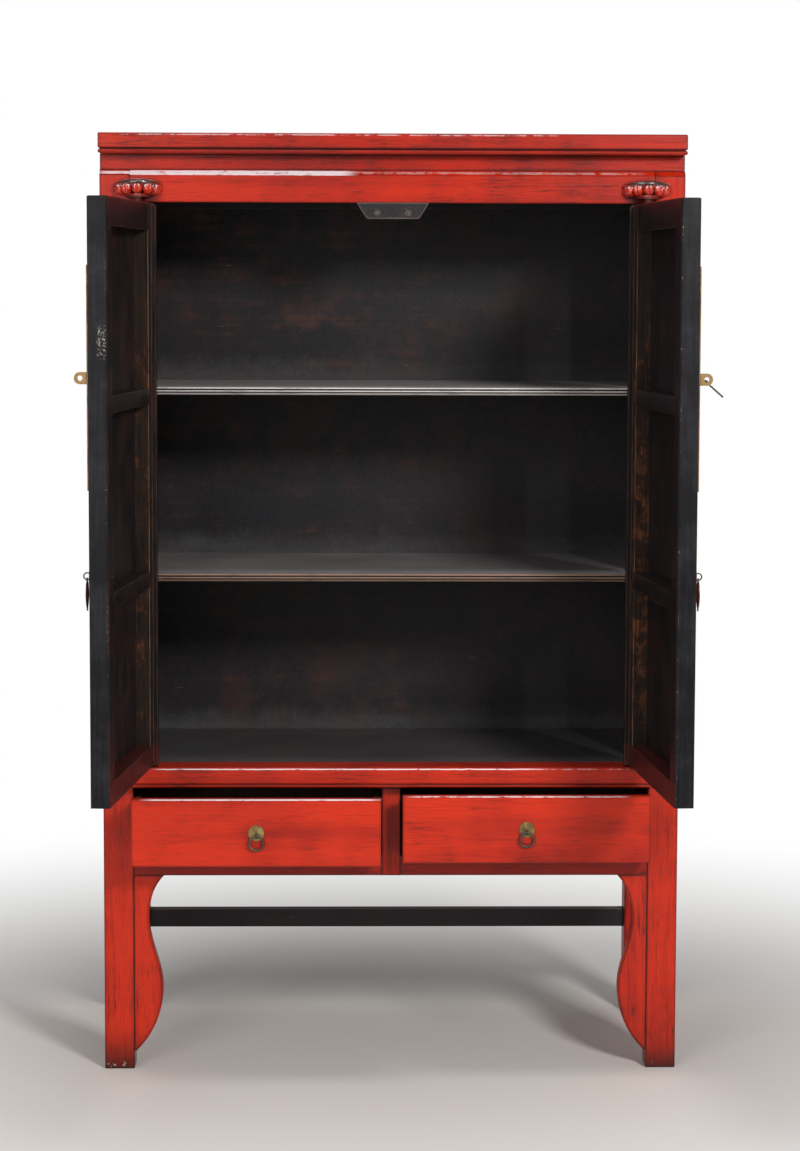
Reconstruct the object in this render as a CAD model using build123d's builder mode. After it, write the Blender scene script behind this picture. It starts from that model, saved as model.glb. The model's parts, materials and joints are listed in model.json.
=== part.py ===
from build123d import *

import os
from math import cos, radians, sin

# Lacquered wedding cabinet with two pivot-hung doors over two drawers, on tall shaped legs.
# Millimetres. Origin on the floor under the centre of the four posts, +Z up, the front faces -Y.
# Doors and drawers are placed as they stand open; their joints close them.

os.makedirs("parts", exist_ok=True)

# ---- Carcass, driving sizes ------------------------------------------------------------------
WIDTH = 1096  # over the posts
DEPTH = 500  # over the posts
POST = 57  # square section of the posts
LEG = 376.5  # floor to the lower rail
LOWER_RAIL = 37.5
DRAWER_OPENING = 131
MID_RAIL = 46
DOOR_OPENING = 1062
TOP_RAIL = 60
FRIEZE = 29
CORNICE = 38
FRONT_RAIL_DEPTH = 38
SIDE_RAIL_DEPTH = 45
POST_EDGE = 1.5  # rounding of the posts' long edges
RAIL_EDGE = 1  # rounding of the rails' long edges
SHOULDER = 10  # slope over the front of posts and top rail, under the frieze
FOOT_WEAR = 2  # worn edge round the soles of the feet
HAIRLINE = 0.2  # left between boards that meet in one node

# Mortise and tenon joints of the carcass
TENON_THICKNESS = 12
TENON_SIDE_FIT = 0.1
TENON_END_GAP = 0.5

# Panels held in grooves
PANEL = 10
PANEL_GROOVE = 8
PANEL_FIT = 0.2  # on each face of a panel
PANEL_END_GAP = 1  # left for the panel to swell

# Frieze, cornice and top
FRIEZE_BOARD = 18
FRIEZE_RECESS = 10  # behind the front of the posts
FRIEZE_SIDE_RECESS = 0.5
CORNICE_PROJECTION = 28  # in front of the posts
CORNICE_SIDE_OVERHANG = 0.5
CORNICE_MEMBER = 60  # width of the mitred members
CORNICE_BEAD = 8
MOULDING_GROOVE = 3
MOULDING_ROUND = 3
TOP_BOARD = 12
TOP_REBATE = 10
TOP_BOARD_DROP = 5  # top board below the rim of the cornice

# Sill under the doors
SILL_HEIGHT = 38
SILL_PROJECTION = 40
SILL_LAP = 9  # over the front of each post
SILL_BEAD = 5

# Deck, shelves and their cleats
DECK = 15
DECK_REBATE = 10  # bearing of the deck on the middle rail
SHELF = 15
UPPER_SHELF_TOP = 1307
LOWER_SHELF_TOP = 953
SHELF_SETBACK = 23  # shelf edge behind the front of the posts
SHELF_GROOVE = 1.3  # radius of the two grooves that part the reeds of a shelf edge
SHELF_REED = 4.3  # width of the middle reed
SHELF_ROUND = 3.2
CLEAT_WIDTH = 20
CLEAT_HEIGHT = 22
SHELF_FIT = 0.2

# Drawer bay
DIVIDER = 35
DIVIDER_TENON = 10
DIVIDER_HALVING = FRONT_RAIL_DEPTH / 2  # of the divider and the lower rail where they cross
RUNNER_WIDTH = 30
RUNNER_HEIGHT = 24
GUIDE_HEIGHT = 26
GUIDE_GAP = 1

# Spandrels: width inwards from the post at the heights where the outline turns
SPANDREL_THICKNESS = 24
SPANDREL_FOOT = 35
SPANDREL_FOOT_WIDTH = 4
SPANDREL_BELLY = 159
SPANDREL_BELLY_WIDTH = 55
SPANDREL_WAIST = 293
SPANDREL_WAIST_WIDTH = 28.5
SPANDREL_TOP_WIDTH = 58
SPANDREL_BEVEL = 3

# Stretcher between the back feet
STRETCHER_BOTTOM = 177.5
STRETCHER_HEIGHT = 36
STRETCHER_DEPTH = 30

# ---- Doors, driving sizes ---------------------------------------------------------------------
LEFT_DOOR_OPEN = 95.5  # degrees
RIGHT_DOOR_OPEN = 94  # degrees
PIVOT_X = 475.5  # pivot axis from the middle of the cabinet
PIVOT_TO_OUTER = 9  # pivot axis to the door's outer face
PIVOT_TO_INNER = 25
DOOR_FACE_GAP = 1  # closed door to the front of the posts
DOOR_MEETING_GAP = 1.5
HINGE_EDGE = 14.5  # door beyond its pivot axis
DOOR_LIP = 8.5  # lip of the hinge stile that enters the opening beside the post
DOOR_LIP_WIDTH = 14
DOOR_BOTTOM_GAP = 3
DOOR_TOP_GAP = 3.5  # door top below the underside of the top rail
STILE = 48
DOOR_TOP_RAIL = 50
DOOR_BOTTOM_RAIL = 41
DOOR_MID_RAIL = 30
DOOR_PANEL = 7.5
DOOR_TONGUE = 3
DOOR_TONGUE_LENGTH = 6
DOOR_GROOVE = 7
DOOR_TENON_THICKNESS = 8
DOOR_TENON_LENGTH = 25
DOOR_TENON_SHOULDER = 8
STILE_ROUND = 4
LOCK_EDGE_BEVEL = 3
DOOR_TOP_ROUND = 3  # along the top of the outer face
PIVOT_RADIUS = 8.5
PIVOT_FIT = 0.08
PIVOT_ROUND = 1
TOP_PIVOT_LENGTH = 32
BOTTOM_PIVOT_LENGTH = 12
PIVOT_END_GAP = 0.2  # bottom pivot above the floor of its socket
TOP_PIVOT_ROOM = 10  # over the top pivot, so that the door lifts out of its sill

# Lotus blocks that hold the top pivots
LOTUS_WIDTH = 92
LOTUS_DEPTH = 45
LOTUS_HEIGHT = 35
LOTUS_BELOW_TOP = 17  # cap under the top of the posts
LOTUS_CAP = 8
LOTUS_CAP_ROUND = 3
LOTUS_PETALS = 7
LOTUS_PETAL_STEP = 28  # degrees between petals
LOTUS_PETAL_RADIUS = 9
LOTUS_COLLAR = 46  # width of the collar round the pivot
LOTUS_COLLAR_HEIGHT = 4
LOTUS_WALL = 4
LOTUS_CAP_LIP = 1  # cap beyond the petals and over the bowl
LOTUS_BOWL_IN = 6  # rim of the bowl behind the tips of the petals
LOTUS_SWELL = 0.62  # share of a petal's height at which it is widest
LOTUS_FOOT_SLOPE = 0.6  # rise for each step outwards at a petal's foot
LOTUS_TIP_SLOPE = 0.8

# Door stop under the top rail
STOP_TOP_WIDTH = 136
STOP_BOTTOM_WIDTH = 98
STOP_HEIGHT = 30
STOP_THICKNESS = 30
STOP_ROUND = 7
CATCH_SPACING = 58
CATCH_RADIUS = 4
CATCH_HEIGHT = 19  # below the top rail
CATCH_DEPTH = 12
CATCH_RECESS = 0.6  # behind the face of the block
CATCH_ROUND = 1

# Round lock plate, cut into two halves, its nails, hasps and pin
LOCK_PLATE_RADIUS = 193
LOCK_HEIGHT = 1339
SHEET = 2  # brass sheet
SHEET_ROUND = 0.6
NAIL_RADIUS = 4
NAIL_DOME = 2
NAIL_SHANK_RADIUS = 1.2
NAIL_SHANK = 9
NAIL_COUNT = 6
NAIL_INSET = 12
NAIL_END_ANGLE = 6  # degrees from the straight edge of a half plate to its first nail
HOLE_FIT = 0.1
HASP_FROM_MIDDLE = 6
HASP_THICKNESS = 2.5
HASP_HEIGHT = 21
HASP_REACH = 23
HASP_HOLE_RADIUS = 4.5
HASP_TAIL = 12
PIN_RADIUS = 1.6
PIN_TIP = 2
PIN_TRAVEL = 15
PIN_HANDLE = 43
PIN_DROOP = 41  # degrees below level
PIN_SEAT_GAP = 0.3

# Door pulls
PULL_GAP = 113  # between the rims of the lock plate and the pull's plate
PULL_ABOVE_RAIL = 30  # middle of the pull above the lower middle rail
PULL_FROM_EDGE = 40
PULL_PLATE_RADIUS = 38
PULL_PLATE_BEVEL = 6
PULL_LOOP_RADIUS = 6
PULL_WIRE = 1.2
PULL_LOOP_CLEARANCE = 1.4
DROP_LENGTH = 58
DROP_WIDTH = 25
DROP_THICKNESS = 2.2
DROP_HOLE = 2.2
DROP_SEAT_GAP = 0.3
DROP_NECK = 4.5
DROP_KNOB = 2.4
DROP_BEVEL = 0.6

# ---- Drawers, driving sizes --------------------------------------------------------------------
LEFT_DRAWER_OUT = 112
RIGHT_DRAWER_OUT = 78
DRAWER_SIDE_GAP = 3
DRAWER_TOP_GAP = 2.5
DRAWER_BOTTOM_GAP = 1
DRAWER_FRONT = 20
DRAWER_FRONT_ROUND = 2
DRAWER_LENGTH = 415  # of the box behind the front
DRAWER_BOARD = 12
DRAWER_BOX_HEIGHT = 112
DRAWER_RUN_GAP = 0.3  # box above its runners
DRAWER_BOTTOM_BOARD = 6
DRAWER_BOTTOM_RAISE = 6
DRAWER_GROOVE = 5
DRAWER_REAR_BOTTOM_GAP = 0.2

# Drawer pulls
RING_PLATE_RADIUS = 15
RING_RADIUS = 13.5  # to the middle of the wire
RING_WIRE = 2
RING_EYE_FIT = 0.3
EYE_WIRE = 1.5
EYE_STANDOFF = 1
EYE_DROP = 4  # eye below the middle of the drawer front
STAPLE_LEG = 11
STAPLE_LEG_RADIUS = 1.2

# ---- Levels and planes worked out from the driving sizes -----------------------------------------
LOWER_RAIL_TOP = LEG + LOWER_RAIL
MID_RAIL_BOTTOM = LOWER_RAIL_TOP + DRAWER_OPENING
DECK_TOP = MID_RAIL_BOTTOM + MID_RAIL
DECK_BOTTOM = DECK_TOP - DECK
TOP_RAIL_BOTTOM = DECK_TOP + DOOR_OPENING
POST_TOP = TOP_RAIL_BOTTOM + TOP_RAIL
FRIEZE_TOP = POST_TOP + FRIEZE
CABINET_TOP = FRIEZE_TOP + CORNICE

FRONT = -DEPTH / 2
BACK = DEPTH / 2
POST_X = (WIDTH - POST) / 2  # post centre lines
POST_Y = (DEPTH - POST) / 2
INNER_X = POST_X - POST / 2  # faces of the posts that look inwards
INNER_Y = POST_Y - POST / 2

TENON_LENGTH = (POST - TENON_THICKNESS) / 2 - 2 * TENON_END_GAP
TENON_SHOULDER = PANEL_GROOVE + PANEL_END_GAP
PANEL_TONGUE = PANEL_GROOVE - PANEL_END_GAP

LOWER_SPAN = (LEG, LOWER_RAIL_TOP)
MID_SPAN = (MID_RAIL_BOTTOM, DECK_BOTTOM)  # side and back middle rails carry the deck
MID_FRONT_SPAN = (MID_RAIL_BOTTOM, DECK_TOP)
TOP_SPAN = (TOP_RAIL_BOTTOM, POST_TOP)
STRETCHER_SPAN = (STRETCHER_BOTTOM, STRETCHER_BOTTOM + STRETCHER_HEIGHT)
LOWER_BAY = (LOWER_RAIL_TOP, MID_RAIL_BOTTOM)  # openings closed by panels
UPPER_BAY = (DECK_BOTTOM, TOP_RAIL_BOTTOM)

PIVOT_Y = FRONT - DOOR_FACE_GAP - PIVOT_TO_INNER
DOOR_BOTTOM = DECK_TOP + DOOR_BOTTOM_GAP
DOOR_TOP = TOP_RAIL_BOTTOM - DOOR_TOP_GAP
LOCK_EDGE = PIVOT_X - DOOR_MEETING_GAP / 2
HASP_U = PIVOT_X - HASP_FROM_MIDDLE
OUTER_FACE = PIVOT_TO_OUTER
INNER_FACE = -PIVOT_TO_INNER
PULL_HEIGHT = LOCK_HEIGHT - LOCK_PLATE_RADIUS - PULL_GAP - PULL_PLATE_RADIUS
UPPER_MID_RAIL = UPPER_SHELF_TOP - DOOR_MID_RAIL  # in line with the upper shelf
LOWER_MID_RAIL = PULL_HEIGHT - PULL_ABOVE_RAIL - DOOR_MID_RAIL
DOOR_PANEL_SPAN = (DOOR_BOTTOM + DOOR_BOTTOM_RAIL, DOOR_TOP - DOOR_TOP_RAIL)
HINGE_STILE_EDGE = STILE - HINGE_EDGE
LOCK_STILE_EDGE = LOCK_EDGE - STILE
TENON_OUT = (INNER_FACE + OUTER_FACE - DOOR_PANEL) / 2
TONGUE_OUT = OUTER_FACE - DOOR_PANEL / 2
DOOR_SIDES = {"left": (1, -LEFT_DOOR_OPEN), "right": (-1, RIGHT_DOOR_OPEN)}

LOTUS_TOP = POST_TOP - LOTUS_BELOW_TOP
LOTUS_BOTTOM = LOTUS_TOP - LOTUS_HEIGHT

DRAWER_INNER_X = DIVIDER / 2 + DRAWER_SIDE_GAP
DRAWER_OUTER_X = INNER_X - DRAWER_SIDE_GAP
DRAWER_MIDDLE_X = (DRAWER_INNER_X + DRAWER_OUTER_X) / 2
DRAWER_FRONT_SPAN = (LOWER_RAIL_TOP + DRAWER_BOTTOM_GAP, MID_RAIL_BOTTOM - DRAWER_TOP_GAP)
DRAWER_BASE = LOWER_RAIL_TOP + DRAWER_RUN_GAP
DRAWER_SIDES = {"left": (-1, LEFT_DRAWER_OUT), "right": (1, RIGHT_DRAWER_OUT)}


# ---- Small helpers ------------------------------------------------------------------------------
def save(builder, name):
    """Name the finished piece and write it to its own file."""
    builder.part.label = name
    export_step(builder.part, f"parts/{name}.step")


def middle(span):
    return (span[0] + span[1]) / 2


def length(span):
    return abs(span[1] - span[0])


def slab(plane, across, up, depth, mode=Mode.ADD):
    """Extrude a rectangle, given by its limits on the plane, along the plane's normal."""
    with BuildSketch(plane) as outline:
        with Locations((middle(across), middle(up))):
            Rectangle(length(across), length(up))
    extrude(outline.sketch, amount=depth, mode=mode)


def front_plane(y):
    """Upright plane that looks out of the front, X to the right and Z up."""
    return Plane.XZ.offset(-y)


def tenoned_rail(plane, half_run, across, span, tenon_centre):
    """Rail whose run is the plane's normal, with a stub tenon at each end on the posts' centre line."""
    with BuildSketch(plane) as section:
        with Locations((middle(across), middle(span))):
            Rectangle(length(across), length(span))
        fillet(section.vertices(), RAIL_EDGE)
    extrude(section.sketch, amount=half_run, both=True)
    with BuildSketch(plane) as tenon:
        with Locations((tenon_centre, middle(span))):
            Rectangle(TENON_THICKNESS - 2 * TENON_SIDE_FIT, length(span) - 2 * TENON_SHOULDER)
    extrude(tenon.sketch, amount=half_run + TENON_LENGTH, both=True)


def cut_shoulder():
    """Sloping top edge along the whole front, under the frieze."""
    with BuildSketch(Plane.YZ) as slope:
        with BuildLine():
            Polyline(
                (FRONT, POST_TOP),
                (FRONT + SHOULDER, POST_TOP),
                (FRONT, POST_TOP - SHOULDER),
                close=True,
            )
        make_face()
    extrude(slope.sketch, amount=WIDTH, both=True, mode=Mode.SUBTRACT)


def moulding_profile(plane, back, front, bottom, top, bead):
    """Section of a moulding: rounded upper edge, flat face, groove and a round bead under it."""
    bead_centre = front + bead / 2
    with BuildSketch(plane) as section:
        with BuildLine():
            Polyline((bead_centre, bottom), (back, bottom), (back, top), (front + MOULDING_ROUND, top))
            RadiusArc((front + MOULDING_ROUND, top), (front, top - MOULDING_ROUND), -MOULDING_ROUND)
            Polyline(
                (front, top - MOULDING_ROUND),
                (front, bottom + bead + MOULDING_GROOVE),
                (bead_centre, bottom + bead),
            )
            ThreePointArc((bead_centre, bottom + bead), (front, bottom + bead / 2), (bead_centre, bottom))
        make_face()
    return section.sketch


def mitred_members(half_x, y_span, member, bottom, top):
    """Four plan shapes that mitre a frame's corners, a hairline apart: front, back, left, right."""
    reach = member  # the shapes run past the members, so that only the mitres cut
    front, back = y_span
    outer = half_x + reach
    inner = half_x - member - reach
    low_out, low_in = front - reach, front + member + reach
    high_out, high_in = back + reach, back - member - reach
    outlines = (
        ((-outer, low_out), (outer, low_out), (inner, low_in), (-inner, low_in)),
        ((-outer, high_out), (-inner, high_in), (inner, high_in), (outer, high_out)),
        ((-outer, low_out), (-inner, low_in), (-inner, high_in), (-outer, high_out)),
        ((outer, low_out), (outer, high_out), (inner, high_in), (inner, low_in)),
    )
    shapes = []
    for points in outlines:
        with BuildSketch(Plane.XY.offset(bottom)) as shape:
            with BuildLine():
                Polyline(*points, close=True)
            make_face()
            offset(amount=-HAIRLINE / 2)
        shapes.append(shape.sketch)
    return shapes


def spandrel_outline(plane, edge, direction):
    """Shaped bracket that swells and narrows down a post, drawn from the post's edge inwards."""

    def inwards(distance):
        return edge + direction * distance

    with BuildSketch(plane) as outline:
        with BuildLine():
            Spline(
                (inwards(SPANDREL_TOP_WIDTH), LEG),
                (inwards(SPANDREL_WAIST_WIDTH), SPANDREL_WAIST),
                (inwards(SPANDREL_BELLY_WIDTH), SPANDREL_BELLY),
                (inwards(SPANDREL_FOOT_WIDTH), SPANDREL_FOOT),
                tangents=((-direction, -1), (0, -1), (0, -1), (-direction, -1)),
            )
            Polyline(
                (inwards(SPANDREL_FOOT_WIDTH), SPANDREL_FOOT),
                (edge, SPANDREL_FOOT),
                (edge, LEG),
                (inwards(SPANDREL_TOP_WIDTH), LEG),
            )
        make_face()
    return outline.sketch


# ---- Posts ----------------------------------------------------------------------------------------
def make_post(name, side, end):
    """Square post with mortises for its rails and grooves for its panels."""
    x = side * POST_X
    y = end * POST_Y
    front_rails = (LOWER_SPAN, MID_FRONT_SPAN, TOP_SPAN)
    back_rails = (LOWER_SPAN, MID_SPAN, TOP_SPAN, STRETCHER_SPAN)
    mortise = TENON_LENGTH + TENON_END_GAP
    with BuildPart() as post:
        with BuildSketch():
            with Locations((x, y)):
                Rectangle(POST, POST)
        extrude(amount=POST_TOP)
        chamfer(post.edges().group_by(Axis.Z)[0], FOOT_WEAR)
        fillet(post.edges().filter_by(Axis.Z), POST_EDGE)
        if end < 0:
            cut_shoulder()
        for span in front_rails if end < 0 else back_rails:
            with Locations((x - side * (POST - mortise) / 2, y, middle(span))):
                Box(mortise, TENON_THICKNESS, length(span) - 2 * TENON_SHOULDER, mode=Mode.SUBTRACT)
        for span in (LOWER_SPAN, MID_SPAN, TOP_SPAN):
            with Locations((x, y - end * (POST - mortise) / 2, middle(span))):
                Box(TENON_THICKNESS, mortise, length(span) - 2 * TENON_SHOULDER, mode=Mode.SUBTRACT)
        for bay in (LOWER_BAY, UPPER_BAY):
            groove_height = length(bay) + 2 * PANEL_GROOVE
            with Locations((x, y - end * (POST - PANEL_GROOVE) / 2, middle(bay))):
                Box(PANEL + 2 * PANEL_FIT, PANEL_GROOVE, groove_height, mode=Mode.SUBTRACT)
            if end > 0:
                with Locations((x - side * (POST - PANEL_GROOVE) / 2, y, middle(bay))):
                    Box(PANEL_GROOVE, PANEL + 2 * PANEL_FIT, groove_height, mode=Mode.SUBTRACT)
    save(post, name)


# ---- Rails and boards of the carcass ----------------------------------------------------------------
def make_front_rails():
    rail_back = FRONT + FRONT_RAIL_DEPTH
    with BuildPart() as top_front_rail:
        tenoned_rail(Plane.YZ, INNER_X, (FRONT, rail_back), TOP_SPAN, -POST_Y)
        cut_shoulder()
    save(top_front_rail, "top_front_rail")

    with BuildPart() as mid_front_rail:
        tenoned_rail(Plane.YZ, INNER_X, (FRONT, rail_back), MID_FRONT_SPAN, -POST_Y)
        # Rebate that carries the front edge of the deck
        rebate = (rail_back - DECK_REBATE, rail_back)
        slab(Plane.XY.offset(DECK_BOTTOM), (-INNER_X, INNER_X), rebate, DECK, Mode.SUBTRACT)
        # Mortise for the head of the drawer divider
        with Locations((0, -POST_Y, MID_RAIL_BOTTOM + (DIVIDER_TENON + TENON_END_GAP) / 2)):
            Box(DIVIDER / 2, TENON_THICKNESS, DIVIDER_TENON + TENON_END_GAP, mode=Mode.SUBTRACT)
    save(mid_front_rail, "mid_front_rail")

    with BuildPart() as lower_front_rail:
        tenoned_rail(Plane.YZ, INNER_X, (FRONT, rail_back), LOWER_SPAN, -POST_Y)
        # Housing in the front half for the foot of the drawer divider
        across = (-DIVIDER / 2, DIVIDER / 2)
        slab(Plane.XY.offset(LEG), across, (FRONT, FRONT + DIVIDER_HALVING), LOWER_RAIL, Mode.SUBTRACT)
    save(lower_front_rail, "lower_front_rail")


def make_drawer_divider():
    """Short post between the drawers, tenoned above and halved over the lower rail."""
    across = (-DIVIDER / 2, DIVIDER / 2)
    rail_back = FRONT + FRONT_RAIL_DEPTH
    with BuildPart() as drawer_divider:
        slab(Plane.XY.offset(LEG), across, (FRONT, rail_back), MID_RAIL_BOTTOM - LEG)
        slab(Plane.XY.offset(LEG), across, (FRONT + DIVIDER_HALVING, rail_back), LOWER_RAIL, Mode.SUBTRACT)
        with Locations((0, -POST_Y, MID_RAIL_BOTTOM + DIVIDER_TENON / 2)):
            Box(DIVIDER / 2 - 2 * TENON_SIDE_FIT, TENON_THICKNESS - 2 * TENON_SIDE_FIT, DIVIDER_TENON)
    save(drawer_divider, "drawer_divider")


def groove_rail(plane, half_run, centre, edge, into):
    """Groove along one edge of a rail; into is +1 where it is cut upwards and -1 downwards."""
    limits = (edge, edge + into * PANEL_GROOVE)
    across = (centre - PANEL / 2 - PANEL_FIT, centre + PANEL / 2 + PANEL_FIT)
    with BuildSketch(plane) as groove:
        with Locations((middle(across), middle(limits))):
            Rectangle(length(across), length(limits))
    extrude(groove.sketch, amount=half_run, both=True, mode=Mode.SUBTRACT)


def grooved_rails(plane, half_run, across, centre):
    """Lower, middle and top rail of a panelled side or back, as three solids."""
    tenoned_rail(plane, half_run, across, LOWER_SPAN, centre)
    tenoned_rail(plane, half_run, across, MID_SPAN, centre)
    tenoned_rail(plane, half_run, across, TOP_SPAN, centre)
    for bay in (LOWER_BAY, UPPER_BAY):
        groove_rail(plane, half_run, centre, bay[0], -1)
        groove_rail(plane, half_run, centre, bay[1], 1)


def make_side_and_back_rails():
    with BuildPart() as side_rails:
        grooved_rails(Plane.XZ, INNER_Y, (WIDTH / 2 - SIDE_RAIL_DEPTH, WIDTH / 2), POST_X)
        mirror(about=Plane.YZ)
    save(side_rails, "side_rails")

    with BuildPart() as back_rails:
        grooved_rails(Plane.YZ, INNER_X, (BACK - SIDE_RAIL_DEPTH, BACK), POST_Y)
    save(back_rails, "back_rails")

    with BuildPart() as back_stretcher:
        stretcher_depth = (POST_Y - STRETCHER_DEPTH / 2, POST_Y + STRETCHER_DEPTH / 2)
        tenoned_rail(Plane.YZ, INNER_X, stretcher_depth, STRETCHER_SPAN, POST_Y)
    save(back_stretcher, "back_stretcher")


def make_panels():
    """Side and back panels, free in their grooves."""
    with BuildPart() as side_panels:
        for bay in (LOWER_BAY, UPPER_BAY):
            plane = Plane.YZ.offset(POST_X - PANEL / 2)
            across = (-INNER_Y - PANEL_TONGUE, INNER_Y + PANEL_TONGUE)
            slab(plane, across, (bay[0] - PANEL_TONGUE, bay[1] + PANEL_TONGUE), PANEL)
        mirror(about=Plane.YZ)
    save(side_panels, "side_panels")

    with BuildPart() as back_panels:
        for bay in (LOWER_BAY, UPPER_BAY):
            plane = front_plane(POST_Y + PANEL / 2)
            across = (-INNER_X - PANEL_TONGUE, INNER_X + PANEL_TONGUE)
            slab(plane, across, (bay[0] - PANEL_TONGUE, bay[1] + PANEL_TONGUE), PANEL)
    save(back_panels, "back_panels")


def make_frieze():
    """Four mitred boards that stand on the rails under the cornice."""
    half_x = WIDTH / 2 - FRIEZE_SIDE_RECESS
    y_span = (FRONT + FRIEZE_RECESS, BACK - FRIEZE_SIDE_RECESS)
    corners = mitred_members(half_x, y_span, FRIEZE_BOARD, POST_TOP, FRIEZE_TOP)
    members = []
    for corner in corners:
        with BuildPart() as member:
            with BuildSketch(Plane.XY.offset(POST_TOP)):
                with Locations((0, middle(y_span))):
                    Rectangle(2 * half_x, length(y_span))
                    Rectangle(
                        2 * (half_x - FRIEZE_BOARD), length(y_span) - 2 * FRIEZE_BOARD, mode=Mode.SUBTRACT
                    )
            extrude(amount=FRIEZE)
            extrude(corner, amount=FRIEZE, mode=Mode.INTERSECT)
        members.append(member.part)
    with BuildPart() as frieze_boards:
        for member in members:
            add(member)
    save(frieze_boards, "frieze_boards")


def make_cornice():
    """Mitred frame of moulded members, rebated inside for the top board."""
    half_x = WIDTH / 2 + CORNICE_SIDE_OVERHANG
    y_span = (FRONT - CORNICE_PROJECTION, BACK)
    corners = mitred_members(half_x, y_span, CORNICE_MEMBER, FRIEZE_TOP, CABINET_TOP)
    runs = (
        # plane across the member, outer face on it, sign from the outer face inwards, half run
        (Plane.YZ, y_span[0], 1, half_x),
        (Plane.YZ, y_span[1], -1, half_x),
        (Plane.XZ.offset(-middle(y_span)), -half_x, 1, length(y_span) / 2),
        (Plane.XZ.offset(-middle(y_span)), half_x, -1, length(y_span) / 2),
    )
    rebate_bottom = CABINET_TOP - TOP_BOARD_DROP - TOP_BOARD
    members = []
    for corner, (plane, outer, inwards, half_run) in zip(corners, runs):
        with BuildPart() as member:
            section = moulding_profile(plane, CORNICE_MEMBER, 0, FRIEZE_TOP, CABINET_TOP, CORNICE_BEAD)
            if inwards < 0:
                across = Plane(plane.origin, x_dir=plane.z_dir, z_dir=plane.x_dir)
                section = mirror(section, about=across, mode=Mode.PRIVATE)
            section = section.translate(plane.x_dir * outer)
            extrude(section, amount=half_run, both=True)
            inner = outer + inwards * CORNICE_MEMBER
            step = (inner - inwards * TOP_REBATE, inner)
            with BuildSketch(plane) as rebate:
                with Locations((middle(step), (rebate_bottom + CABINET_TOP) / 2)):
                    Rectangle(TOP_REBATE, CABINET_TOP - rebate_bottom)
            extrude(rebate.sketch, amount=half_run, both=True, mode=Mode.SUBTRACT)
            extrude(corner, amount=CORNICE, mode=Mode.INTERSECT)
        members.append(member.part)
    with BuildPart() as cornice_frame:
        for member in members:
            add(member)
    save(cornice_frame, "cornice_frame")

    with BuildPart() as top_board:
        set_in = CORNICE_MEMBER - TOP_REBATE + PANEL_FIT
        board_x = half_x - set_in
        board_y = (y_span[0] + set_in, y_span[1] - set_in)
        slab(Plane.XY.offset(rebate_bottom), (-board_x, board_x), board_y, TOP_BOARD)
    save(top_board, "top_board")


def make_sill():
    """Moulded sill that the doors stand over, with a socket for each bottom pivot."""
    socket = BOTTOM_PIVOT_LENGTH + PIVOT_END_GAP - DOOR_BOTTOM_GAP
    half_run = INNER_X + SILL_LAP
    with BuildPart() as sill_moulding:
        section = moulding_profile(
            Plane.YZ, FRONT, FRONT - SILL_PROJECTION, DECK_TOP - SILL_HEIGHT, DECK_TOP, SILL_BEAD
        )
        extrude(section, amount=half_run, both=True)
        with Locations((-PIVOT_X, PIVOT_Y, DECK_TOP), (PIVOT_X, PIVOT_Y, DECK_TOP)):
            Hole(PIVOT_RADIUS + PIVOT_FIT, depth=socket)
    save(sill_moulding, "sill_moulding")


def inner_outline(front_edge):
    """Plan of a board that fills the inside, notched round the posts."""
    side = POST_X - PANEL / 2 - SHELF_FIT
    back = POST_Y - PANEL / 2 - SHELF_FIT
    notch_x = INNER_X - SHELF_FIT
    notch_y = INNER_Y - SHELF_FIT
    with Locations((0, middle((front_edge, back)))):
        Rectangle(2 * notch_x, back - front_edge)
    Rectangle(2 * side, 2 * notch_y)


def make_deck_and_shelves():
    with BuildPart() as deck_board:
        with BuildSketch(Plane.XY.offset(DECK_BOTTOM)):
            inner_outline(FRONT + FRONT_RAIL_DEPTH - DECK_REBATE)
        extrude(amount=DECK)
    save(deck_board, "deck_board")

    edge = FRONT + SHELF_SETBACK
    for name, top in (("upper_shelf", UPPER_SHELF_TOP), ("lower_shelf", LOWER_SHELF_TOP)):
        with BuildPart() as shelf:
            with BuildSketch(Plane.XY.offset(top - SHELF)):
                inner_outline(edge)
            extrude(amount=SHELF)
            # Reeded front edge: both arrises rounded, two grooves between them
            front_edges = shelf.faces().sort_by(Axis.Y)[0].edges().filter_by(Axis.X)
            fillet(front_edges, SHELF_ROUND)
            with BuildSketch(Plane.YZ) as groove:
                with Locations((edge, top - SHELF / 2)):
                    with GridLocations(0, SHELF_REED, 1, 2):
                        Circle(SHELF_GROOVE)
            extrude(groove.sketch, amount=INNER_X, both=True, mode=Mode.SUBTRACT)
        save(shelf, name)

    with BuildPart() as shelf_cleats:
        outer = POST_X - PANEL / 2 - SHELF_FIT
        reach = INNER_Y - SHELF_FIT
        for top in (UPPER_SHELF_TOP, LOWER_SHELF_TOP):
            cleat_top = top - SHELF
            plane = Plane.XY.offset(cleat_top - CLEAT_HEIGHT)
            slab(plane, (outer - CLEAT_WIDTH, outer), (-reach, reach), CLEAT_HEIGHT)
        chamfer(shelf_cleats.faces().sort_by(Axis.X)[0].edges().group_by(Axis.Z)[0], RAIL_EDGE)
        mirror(about=Plane.YZ)
    save(shelf_cleats, "shelf_cleats")


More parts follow.
